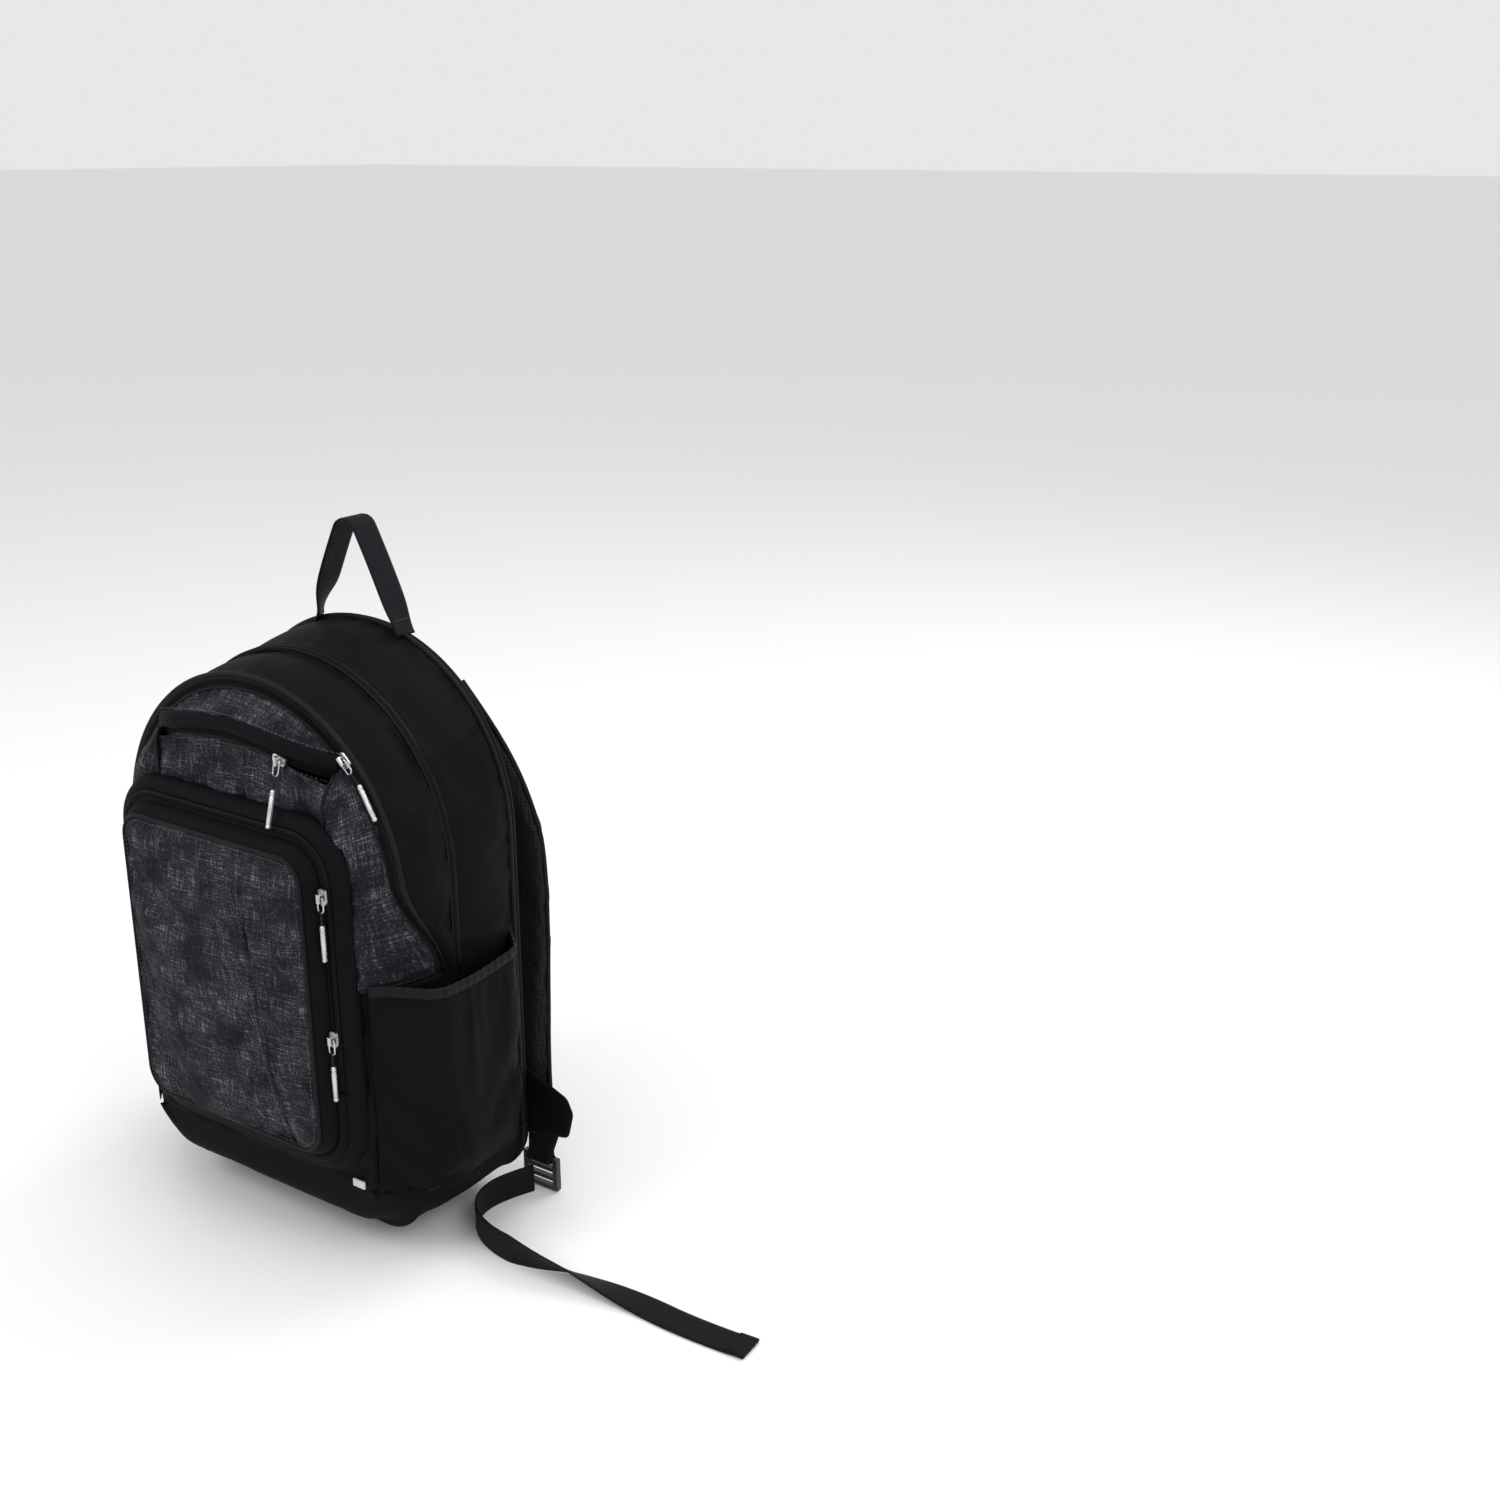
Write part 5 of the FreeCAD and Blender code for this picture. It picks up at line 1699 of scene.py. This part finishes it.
@dataclass
class SidePocket:
    """A bottle pocket: cloth on the right, net on the left, with an elastic mouth."""

    side: Side
    top: float = float(cad("side_pocket_right")[1][2])
    low: float = float(cad("side_pocket_right")[0][2])
    wide: float = float(cad("side_pocket_right")[1][0]) - 0.7
    sag: float = 6.0

    def plan(self, count: int, gap: float = 0.8) -> Points:
        """Return the mouth's level line round the bag's corner.

        Args:
            count: how many points it has.
            gap: how far off the side it is.

        Returns:
            The line's (x, y) points.
        """
        corners = [(FORM.half + gap, -6.0), (self.wide, -24.0), (self.wide, -110.0),
                   (FORM.face_half + 3 + gap, FORM.face_y + 1.5)]
        path = resample(rounded(corners, [16.0, 24.0]), count)
        return path * (self.side.value, 1)

    def wall(self, columns: int, rows: int) -> Points:
        """Return a grid down the wall and in under it to the bag.

        Args:
            columns: points along the mouth.
            rows: points down the wall.

        Returns:
            The grid's points.
        """
        plan = self.plan(columns)
        share_u = np.linspace(0, 1, columns)
        corners = np.array([(FORM.half + 0.8, -6.0), (FORM.front_half + 1, FORM.front_y),
                            (FORM.front_half + 0.9, FORM.zip_y - 0.8),
                            (FORM.face_half + 3, FORM.face_y + 1.5)])
        body = np.stack([np.interp(share_u, [0, 0.72, 0.8, 1], corners[:, k]) for k in range(2)], axis=-1)
        body = body * (self.side.value, 1)
        lines = []
        droop = self.sag * np.sin(math.pi * share_u) ** 2
        for share in np.linspace(0, 1, rows):
            z = self.top + 2 - droop * (1 - share) + (self.low + 2 - self.top) * share
            tuck = max(0.0, share - 0.8) / 0.2
            belly = 0.16 * math.sin(math.pi * share)
            flat = plan * (1 - 0.28 * tuck ** 2) + body * 0.28 * tuck ** 2
            flat = flat + (plan - body) * belly * 0.35
            lines.append(np.concatenate([flat, z[:, None]], axis=1))
        for share in (0.35, 0.7, 1.0):
            last = lines[rows - 1][:, :2]
            flat = last * (1 - share) + body * share
            lines.append(np.concatenate([flat, np.full((columns, 1), self.low - 0.5 * share)], axis=1))
        return np.stack(lines, axis=1)

    def cloth(self) -> Piece:
        """Return the right-hand pocket of black cloth.

        Returns:
            The piece, dressed.
        """
        points = self.wall(70, 44)
        ruffle(points, 0, 2.2, 30.0, 31.0, (slice(1, -1), slice(2, -4)))
        piece = Patch(points, (60.0 * self.side.value, -60.0, -400.0)).build("side_pocket_right_cloth")
        crease(piece, 0.03, 5.0)
        thicken(piece, 1.2)
        return dress(piece, POLYESTER)

    def net(self) -> Piece:
        """Return the left-hand pocket as an open net of thin threads.

        Returns:
            The piece, dressed.
        """
        grid = self.wall(58, 42)
        columns, rows = grid.shape[:2]
        points = grid.reshape(-1, 3)
        faces = []
        for i in range(columns - 1):
            for j in range(rows - 1):
                a, b, c, d = i * rows + j, i * rows + j + 1, (i + 1) * rows + j + 1, (i + 1) * rows + j
                faces += [(a, b, d), (b, c, d)] if (i + j) % 2 else [(a, b, c), (a, c, d)]
        piece = mend(add_mesh("side_pocket_left_net", points, faces))
        threads = piece.modifiers.new("Threads", "WIREFRAME")
        threads.thickness = 0.9 * MM
        threads.use_even_offset = False
        apply_modifiers(piece)
        return dress(piece, NET)

    def binding(self) -> Piece:
        """Return the gathered elastic tape round the mouth.

        Returns:
            The piece, dressed.
        """
        plan = self.plan(90, 1.6)
        share = np.linspace(0, 1, len(plan))
        droop = self.sag * np.sin(math.pi * share) ** 2
        ruffle = 0.5 * np.sin(share * 130.0)
        path = np.stack([plan[:, 0], plan[:, 1], self.top + 4.5 - droop], axis=-1)
        up = steady(UPWARD, path)
        out = unit(np.cross(tangents(path), up))
        if out[len(out) // 2][0] * self.side.value < 0:
            out = -out
        path = path + out * ruffle[:, None]
        section = np.array([(4.4, 0.4), (3.4, 1.3), (0.6, 1.7), (-3.4, 1.5), (-4.4, 0.6), (-4.4, -0.6),
                            (-3.4, -1.3), (3.4, -1.3), (4.4, -0.5)])
        return dress(mend(sweep(f"side_pocket_{self.side.label}_elastic", path, up, out, section)), BINDING)

    def build(self) -> None:
        """Build and place the pocket."""
        if self.side is Side.RIGHT:
            place(self.cloth(), "bag", "black_polyester", "side_pocket_right")
        else:
            place(self.net(), "bag", "pocket_mesh", "side_pocket_left_mesh")
        place(self.binding(), "bag", "elastic_binding", f"side_pocket_{self.side.label}_binding")


def swell_pad(name: str, node: str, voxel: float, shrink: float, cap: float) -> Piece:
    """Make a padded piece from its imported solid, blown up gently as foam fills a cover.

    Args:
        name: the new piece's name.
        node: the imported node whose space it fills.
        voxel: the remesh size.
        shrink: how far the start is drawn in.
        cap: how far a point may move.

    Returns:
        The padded piece.
    """
    source = frame["nodes"][node]
    piece = bpy.data.objects.new(name, source.data.copy())
    bpy.context.scene.collection.objects.link(piece)
    mend(piece, 0.01, outward=False)
    remesh = piece.modifiers.new("Remesh", "REMESH")
    remesh.mode = "VOXEL"
    remesh.voxel_size = voxel * MM
    soften = piece.modifiers.new("Soften", "SMOOTH")
    soften.factor = 0.5
    soften.iterations = 18
    draw_in = piece.modifiers.new("Draw in", "DISPLACE")
    draw_in.strength = -shrink * MM
    draw_in.mid_level = 0.0
    apply_modifiers(piece)
    cloth = piece.modifiers.new("Cloth", "CLOTH")
    cloth.settings.quality = 5
    cloth.settings.use_pressure = True
    cloth.settings.uniform_pressure_force = 4.0
    cloth.settings.effector_weights.gravity = 0.0
    cloth.settings.tension_stiffness = 15.0
    cloth.settings.bending_stiffness = 2.0
    cloth.collision_settings.use_collision = False
    settle(piece, cloth, 18, cap)
    subdivide(piece)
    piece.data.polygons.foreach_set("use_smooth", [True] * len(piece.data.polygons))
    return piece


def mirrored(piece: Piece, name: str) -> Piece:
    """Return the left-hand copy of a right-hand piece with its own mesh.

    Args:
        piece: the right-hand piece.
        name: the copy's name.

    Returns:
        The copy.
    """
    copy = bpy.data.objects.new(name, piece.data.copy())
    bpy.context.scene.collection.objects.link(copy)
    copy.data.transform(Matrix.Scale(-1, 4, Vector((1, 0, 0))))
    copy.data.flip_normals()
    return copy


@dataclass
class BackPanel:
    """The back: a quilted panel, its pads and the yoke that the straps are sewn under."""

    spine: tuple[float, float] = (-400.0, -235.0)

    def rings(self, outline: Points, rows: Sequence[tuple[float, float]]) -> Points:
        """Return a grid of rings from an outline in to a spine, each at its own depth."""
        spine = np.stack([np.zeros(len(outline)), np.clip(outline[:, 1], *self.spine)], axis=-1)
        return np.stack([lift(outline * (1 - share) + spine * share, y) for share, y in rows], axis=1)

    def panel(self) -> Piece:
        """Return the back panel with its rounded edge.

        Returns:
            The piece, dressed.
        """
        rows = [(0.0, 1.0), (-0.008, 4.0), (0.0, 7.4), (0.02, 9.4), (0.06, 10.0)]
        rows += [(share, 10.0 - 0.8 * math.sin(share * 9)) for share in np.linspace(0.12, 1.0, 16)]
        points = self.rings(FORM.rear_outline(1, 201), rows)
        ruffle(points, 1, 1.0, 40.0, 41.0, (slice(None), slice(4, None)))
        piece = Patch(points, (0.0, -40.0, -320.0), round_u=True).build("back_cloth")
        mend(piece, 0.1, outward=False)
        thicken(piece, 1.6)
        return dress(piece, POLYESTER)

    def build(self) -> None:
        """Build and place the back."""
        place(self.panel(), "bag", "black_polyester", "back_panel", "back_board")
        right = swell_pad("back_pad_right_foam", "back_pad_right", 4.0, 1.2, 3.0)
        left = mirrored(right, "back_pad_left_foam")
        lower = swell_pad("back_pad_lower_foam", "back_pad_lower", 4.0, 1.0, 3.0)
        yoke = swell_pad("strap_yoke_pad", "strap_yoke", 3.0, 0.2, 1.6)
        for piece, node in ((right, "back_pad_right"), (left, "back_pad_left"), (lower, "back_pad_lower")):
            place(dress(piece, AIR_MESH), "bag", "pad_mesh", node)
        place(dress(yoke, POLYESTER), "bag", "black_polyester", "strap_yoke")


@dataclass
class HaulLoop:
    """The webbing loop that the bag hangs by."""

    foot_z: float = float(cad("haul_loop")[0][2])
    foot_x: float = float(cad("haul_loop")[1][0])
    y: float = float(sum(corner[1] for corner in cad("haul_loop")) / 2)
    width: float = 25.0
    thick: float = 2.0
    bend: float = 11.0

    def line(self, count: int) -> Points:
        """Return the loop's middle line from the left foot over the hook to the right foot.

        Args:
            count: how many points it has.

        Returns:
            The line's (x, z) points.
        """
        foot = self.foot_x - self.thick / 2
        drop = -self.foot_z - self.bend
        slope = math.atan2(drop, foot) + math.asin(self.bend / math.hypot(foot, drop))
        apex = -self.bend + 1.0 + self.bend / math.cos(slope)
        path = rounded([(-foot, self.foot_z), (0.0, apex), (foot, self.foot_z)], [self.bend], steps=24)
        return resample(path, count)

    def build(self) -> None:
        """Build and place the loop and the bar-tacked patches at its feet."""
        flat = self.line(90)
        share = np.linspace(0, 1, len(flat))
        path = lift(flat, self.y)
        path[:, 0] -= 1.6 * np.sin(2 * math.pi * share)
        way = tangents(path)
        twist = (math.radians(34) * np.exp(-((share - 0.04) / 0.09) ** 2)
                 - math.radians(12) * np.exp(-((share - 0.97) / 0.07) ** 2))
        depth = np.array(BACKWARD)
        side = unit(np.cross(way, depth))
        across = depth * np.cos(twist)[:, None] + side * np.sin(twist)[:, None]
        out = np.cross(across, way)
        piece = mend(sweep("haul_loop_webbing", path, across, out, band_section(self.width, self.thick)))
        place(dress(piece, WEBBING), "bag", "webbing", "haul_loop")
        tacks = []
        for end in (2, len(path) - 3):
            for offset in (-6.0, 0.0, 6.0):
                centre = path[end] + way[end] * (8 if end == 2 else -8) + across[end] * offset
                face = out[end] * (1 if out[end][0] * centre[0] > 0 else -1)
                run = resample(np.array([centre - across[end] * 2.6, centre + across[end] * 2.6]), 9)
                tacks.append(stitches("tack", run + face * (self.thick / 2), face, 1.3, 1.9))
        place(dress(join("haul_loop_tacks", tacks), PALE_THREAD), "bag", "webbing")


@dataclass
class Strap:
    """One shoulder strap with its binding, end webbing, ladder lock, wing tab and webbing tail."""

    side: Side
    webbing: float = 25.0
    web_thick: float = 2.0
    sewn_in: float = 13.0

    def edge_binding(self, pad: Piece) -> Piece:
        """Return the narrow binding sewn round the pad's long edges.

        Args:
            pad: the strap's pad.

        Returns:
            The piece, dressed.
        """
        points = mesh_points(pad) / MM
        levels = np.linspace(points[:, 2].max() - 5, points[:, 2].min() + 5, 34)
        strands = []
        for way in (-1, 1):
            path = []
            for z in levels:
                ring = points[np.abs(points[:, 2] - z) < 4.0]
                reach = ring[:, 0] * way
                rim = ring[reach > reach.max() - 3.0]
                path.append((way * (reach.max() - 0.5), rim[:, 1].mean(), z))
            smooth = np.array(path)
            for _ in range(3):
                smooth[1:-1] = (smooth[:-2] + 2 * smooth[1:-1] + smooth[2:]) / 4
            strands.append(tube("edge", resample(smooth, 90), 2.2, BACKWARD))
        return dress(join(f"shoulder_strap_{self.side.label}_binding", strands), BINDING)

    def band(self, name: str, path: Points, thick: float) -> Piece:
        """Make webbing that lies across the bag.

        Args:
            name: the piece's name.
            path: the webbing's middle line.
            thick: its thickness.

        Returns:
            The webbing, dressed.
        """
        across = steady(RIGHTWARD, path)
        section = band_section(self.webbing, thick)
        return dress(mend(sweep(name, path, across, np.cross(across, tangents(path)), section)), WEBBING)

    def end_webbing(self) -> Piece:
        """Return the webbing that wraps the ladder lock's top bar.

        Returns:
            The piece, dressed.
        """
        low, high = cad(f"strap_end_webbing_{self.side.label}")
        x, y = (low[0] + high[0]) / 2, (low[1] + high[1]) / 2
        radius = (high[1] - low[1]) / 2 - self.web_thick / 2
        eye = low[2] + radius + self.web_thick / 2
        angles = np.linspace(math.radians(60), math.radians(-240), 30)
        curve = np.stack([y + radius * np.cos(angles), eye + radius * np.sin(angles)], axis=-1)
        top = high[2] + self.sewn_in
        path = np.concatenate([[(y + 2.8, top), (y + 1.3, eye + radius + 4)], curve,
                               [(y - 1.3, eye + radius + 4), (y + 0.6, top)]])
        path = resample(path, 70)
        line = np.stack([np.full(len(path), x), path[:, 0], path[:, 1]], axis=-1)
        return self.band(f"strap_end_webbing_{self.side.label}_band", line, self.web_thick * 0.8)

    def wing(self) -> Piece:
        """Return the triangular tab at the bag's lower corner.

        Returns:
            The piece, dressed.
        """
        low, high = cad(f"wing_tab_{self.side.label}")
        sign = self.side.value
        outer, inner = (high[0], low[0]) if sign > 0 else (low[0], high[0])
        middle = (low[2] + high[2]) / 2
        corners = [(inner, high[2]), (inner, low[2]), (outer - sign * 6, middle - 24), (outer, middle),
                   (outer - sign * 6, middle + 13)]
        outline = resample(rounded(corners, [1.5, 1.5, 8.0, 8.0, 8.0], closed=True), 81)[:-1]
        centre = outline.mean(axis=0)
        front, rear = low[1], high[1]
        rows = [(0.999, front - 0.6), (0.6, front - 0.7), (0.25, front - 0.3), (0.08, front),
                (0.0, (front + rear) / 2), (0.08, rear), (0.25, rear + 0.3), (0.6, rear + 0.7),
                (0.999, rear + 0.6)]
        lines = [lift(outline * (1 - share) + centre * share, y) for share, y in rows]
        heart = (float(centre[0]), (front + rear) / 2, float(centre[1]))
        piece = Patch(np.stack(lines, axis=1), heart, round_u=True).build(f"wing_tab_{self.side.label}_cloth")
        return dress(mend(piece, 0.2), POLYESTER)

    def adjuster(self) -> Piece:
        """Return the webbing from the wing tab down to the ladder lock.

        Returns:
            The piece, dressed.
        """
        points = node_points(f"adjuster_webbing_{self.side.label}")
        high = points[points[:, 2] > points[:, 2].max() - 0.5].mean(axis=0)
        low = points[points[:, 2] < points[:, 2].min() + 0.5].mean(axis=0)
        path = resample(np.array([high, low]), 40)
        path[:, 1] += 1.5 * np.sin(np.linspace(0, math.pi, 40))
        return self.band(f"adjuster_webbing_{self.side.label}_band", path, self.web_thick)

    def build(self, made: Optional[Piece] = None) -> Piece:
        """Build and place the strap; the left one mirrors the right one's pad.

        Args:
            made: the right-hand pad, once it is there.

        Returns:
            The pad.
        """
        label, body = self.side.label, f"strap_{self.side.label}"
        name = f"shoulder_strap_{label}_pad"
        pad = mirrored(made, name) if made else swell_pad(name, f"shoulder_strap_{label}", 4.0, 1.4, 4.5)
        place(dress(pad, AIR_MESH), body, "strap_cloth", f"shoulder_strap_{label}")
        place(self.edge_binding(pad), body, "strap_cloth")
        place(self.end_webbing(), body, "webbing", f"strap_end_webbing_{label}")
        place(self.wing(), "bag", "black_polyester", f"wing_tab_{label}")
        adjuster = self.adjuster()
        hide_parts(f"adjuster_webbing_{label}")
        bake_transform(adjuster)
        dress(frame["nodes"][f"ladder_lock_{label}"], PLASTIC)
        return pad


@dataclass
class Tail:
    """A free webbing tail that curls off its ladder lock on edge, twists and lies flat on the floor."""

    side: Side
    route: Sequence[Spot]
    length: float
    width: float = 0.025
    thick: float = 0.0018
    fold: float = 0.013

    def centre_line(self) -> Points:
        """Return the points that the webbing's middle follows, in metres.

        Returns:
            The points, from the lock to the tail's end.
        """
        curve = bpy.data.curves.new("tail_line", "CURVE")
        curve.dimensions = "3D"
        curve.resolution_u = 16
        spline = curve.splines.new("NURBS")
        spline.points.add(len(self.route) - 1)
        for point, spot in zip(spline.points, self.route):
            point.co = (*spot, 1.0)
        spline.order_u = 3
        spline.use_endpoint_u = True
        holder = bpy.data.objects.new("tail_line", curve)
        bpy.context.scene.collection.objects.link(holder)
        bpy.context.view_layer.update()
        mesh = bpy.data.meshes.new_from_object(holder)
        points = np.array([vertex.co[:] for vertex in mesh.vertices])
        bpy.data.objects.remove(holder)
        return points

    def build(self) -> None:
        label = self.side.label
        line = self.centre_line()
        path = resample(line, 120)
        way = tangents(path)
        low, high = path[:, 2].min(), path[:, 2].max()
        turn = np.arccos(np.clip((path[:, 2] - low) / (high - low), 0, 1))
        up = steady(UPWARD, path)
        level = unit(np.cross(way, up))
        across = up * np.cos(turn)[:, None] + level * np.sin(turn)[:, None]
        out = unit(np.cross(across, way))
        piece = mend(sweep(f"webbing_tail_{label}_band", path / MM, across, out,
                           band_section(self.width / MM, self.thick / MM)))
        place(dress(piece, WEBBING), f"strap_{label}", "webbing", f"webbing_tail_{label}")
        tip = path[-1] + way[-1] * self.fold
        lap = way[-1] * 0.002
        fold_line = resample(np.array([path[-1] - lap, path[-1] + lap, tip - lap, tip]), 8)
        fold_line = fold_line + np.array([0, 0, self.thick / 2])
        fold = mend(sweep(f"tail_fold_{label}_hem", fold_line / MM, steady(across[-1], fold_line),
                          steady(out[-1], fold_line), band_section(self.width / MM, 2 * self.thick / MM)))
        place(dress(fold, WEBBING), f"strap_{label}", "webbing", f"tail_fold_{label}")


@dataclass
class Pull:
    """A zip pull: wire ring, braided cord and a satin bar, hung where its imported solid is."""

    name: str
    ring_length: float = 12.0
    ring_width: float = 7.0
    wire: float = 0.7
    cord: float = 0.95
    bar: float = 1.75

    def build(self) -> None:
        """Build and place the pull."""
        node = f"{self.name}_pull"
        eye, axis = joint_place(f"{self.name}_lift")
        points = node_points(node)
        reach = np.linalg.norm(points - eye, axis=1)
        near = points[reach < self.ring_length + 0.8].mean(axis=0)
        along = (near - eye) / np.linalg.norm(near - eye)
        axis = axis - along * (axis @ along)
        axis = axis / np.linalg.norm(axis)
        far = points[reach > reach.max() - 6].mean(axis=0)
        face = np.cross(axis, along)
        half, length = self.ring_width / 2 - self.wire, self.ring_length - self.wire
        corners = [(half, 0.0), (half, length), (-half, length), (-half, 0.0)]
        loop = resample(rounded(corners, [2.0, 2.6, 2.6, 2.0], closed=True), 49)[:-1]
        path = eye + axis * loop[:, :1] + along * loop[:, 1:]
        ring = tube("ring", path, self.wire, face, closed=True)
        dress(ring, PLATED)
        knot = eye + along * (self.ring_length - 1.4)
        bar_start = eye + along * (self.ring_length + 11.0)
        strands = []
        for way in (-1, 1):
            steps = np.linspace(0, 1, 14)[:, None]
            twist = (axis * np.cos(steps * 9) + face * np.sin(steps * 9)) * way * 0.45
            strands.append(tube("strand", knot + (bar_start - knot) * steps + twist, self.cord * 0.62, face))
        wind = np.linspace(0, 6, 18)[:, None]
        coil = knot + (axis * np.cos(wind) * 0.5 + face * np.sin(wind) * 1.6)
        tie = tube("tie", coil + along * np.linspace(-1.2, 1.6, 18)[:, None], self.cord * 0.6, along)
        cord = dress(join("cord", strands + [tie]), PULL_CORD)
        direction = (far - bar_start) / np.linalg.norm(far - bar_start)
        reach_end = float(np.max((points - bar_start) @ direction))
        stations = np.concatenate([[-1.6, -1.4, -0.6, 0.4, 2.0, 2.4, 3.4, 3.8],
                                   reach_end - np.array([4.2, 3.8, 2.8, 2.4, 1.0, 0.3, 0.1])])
        girths = np.array([0.05, 0.6, 0.92, 1.0, 1.0, 0.86, 0.86, 1.0, 1.0, 0.86, 0.86, 1.0, 1.0, 0.7, 0.05])
        first = axis - direction * (axis @ direction)
        first = first / np.linalg.norm(first)
        second = np.cross(direction, first)
        angles = np.linspace(0, 2 * math.pi, 16, endpoint=False)
        lobes = [np.abs(wave) ** 0.7 * np.sign(wave) for wave in (np.cos(angles), np.sin(angles))]
        outline = first * lobes[0][:, None] + second * lobes[1][:, None]
        grid = np.stack([bar_start + direction * station + outline * self.bar * girth
                         for station, girth in zip(stations, girths)], axis=1)
        bar = Patch(grid, tuple(bar_start + direction * reach_end / 2), round_u=True).build("bar")
        dress(mend(bar, fill=True), SATIN)
        piece = join(f"{self.name}_pull_bar", [bar, ring, cord])
        place(piece, node, "pull_metal", node)
        dress(frame["nodes"][f"{self.name}_slider"], PLATED)


@dataclass
class Studio:
    """The floor, the light and the camera."""

    floor_z: float = CAD_BOX[0][2]
    floor_size: float = 90.0
    lens: float = 43.92
    camera_at: Spot = (1.05305, -1.00254, 0.28310)
    turn: tuple[float, float] = (71.5, 34.0)
    aim: Spot = (0.0, -0.06, -0.3)
    lamps: tuple[tuple[str, Spot, float, float], ...] = (
        ("key light", (-0.9, -1.9, 1.5), 20.0, 1.3),
        ("side light", (1.9, -0.5, 1.2), 16.0, 1.4),
        ("back light", (0.6, 1.7, 1.3), 14.0, 1.2),
        ("top light", (0.0, -0.2, 2.0), 10.0, 1.6))

    def build(self) -> None:
        """Set the studio up."""
        scene = bpy.context.scene
        bpy.ops.mesh.primitive_plane_add(size=self.floor_size, location=(0, 0, 0))
        floor = bpy.context.object
        floor.name = "studio_floor"
        floor.data.transform(Matrix.Translation((0, 0, self.floor_z - 0.0006)))
        material = bpy.data.materials.new("pale floor")
        material.use_nodes = True
        shader = next(node for node in material.node_tree.nodes if node.type == "BSDF_PRINCIPLED")
        shader.inputs["Base Color"].default_value = (0.86, 0.86, 0.86, 1)
        shader.inputs["Roughness"].default_value = 0.9
        floor.data.materials.append(material)
        world = scene.world or bpy.data.worlds.new("studio")
        scene.world = world
        world.use_nodes = True
        background = next(node for node in world.node_tree.nodes if node.type == "BACKGROUND")
        background.inputs[0].default_value = (1, 1, 1, 1)
        background.inputs[1].default_value = 0.8
        for name, spot, power, size in self.lamps:
            light = bpy.data.lights.new(name, "AREA")
            light.energy = power
            light.size = size
            lamp = bpy.data.objects.new(name, light)
            lamp.location = spot
            aim = Vector(self.aim) - Vector(spot)
            lamp.rotation_euler = aim.to_track_quat("-Z", "Y").to_euler()
            scene.collection.objects.link(lamp)
        data = bpy.data.cameras.new("camera")
        data.lens = self.lens
        data.sensor_width = 36.0
        camera = bpy.data.objects.new("camera", data)
        camera.location = self.camera_at
        camera.rotation_euler = (math.radians(self.turn[0]), 0.0, math.radians(self.turn[1]))
        scene.collection.objects.link(camera)
        scene.camera = camera
        scene.view_settings.view_transform = "Standard"


RIGHT_TAIL = Tail(Side.RIGHT, [(0.152, 0.009, -0.5445), (0.142, -0.012, -0.5445), (0.138, -0.038, -0.5445),
                               (0.149, -0.063, -0.5445), (0.182, -0.080, -0.5445), (0.224, -0.082, -0.5445),
                               (0.262, -0.072, -0.549), (0.318, -0.068, -0.556), (0.372, -0.071, -0.556),
                               (0.410, -0.068, -0.556)], 0.341)
LEFT_TAIL = Tail(Side.LEFT, [(-0.152, 0.009, -0.5445), (-0.158, -0.012, -0.5445), (-0.180, -0.022, -0.5445),
                             (-0.204, -0.008, -0.5445), (-0.208, 0.028, -0.5445), (-0.186, 0.064, -0.5445),
                             (-0.144, 0.084, -0.549), (-0.096, 0.088, -0.556), (-0.044, 0.084, -0.556),
                             (0.006, 0.0875, -0.556)], 0.341)


def main() -> None:
    """Build the backpack in order."""
    logging.basicConfig(level=logging.INFO, format="%(message)s")
    Studio().build()
    for tail in (RIGHT_TAIL, LEFT_TAIL):
        tail.build()
    Shell().build()
    FrontPanel().build()
    MainPocket().build()
    for side in Side:
        SidePocket(side).build()
    BackPanel().build()
    HaulLoop().build()
    pad = Strap(Side.RIGHT).build()
    Strap(Side.LEFT).build(pad)
    for name in ("main_top", "main_side", "front", "upper", "pocket_top", "pocket_low"):
        Pull(name).build()
    dress(frame["nodes"]["side_tag"], TAG)
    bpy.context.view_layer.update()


if __name__ == "__main__":
    main()
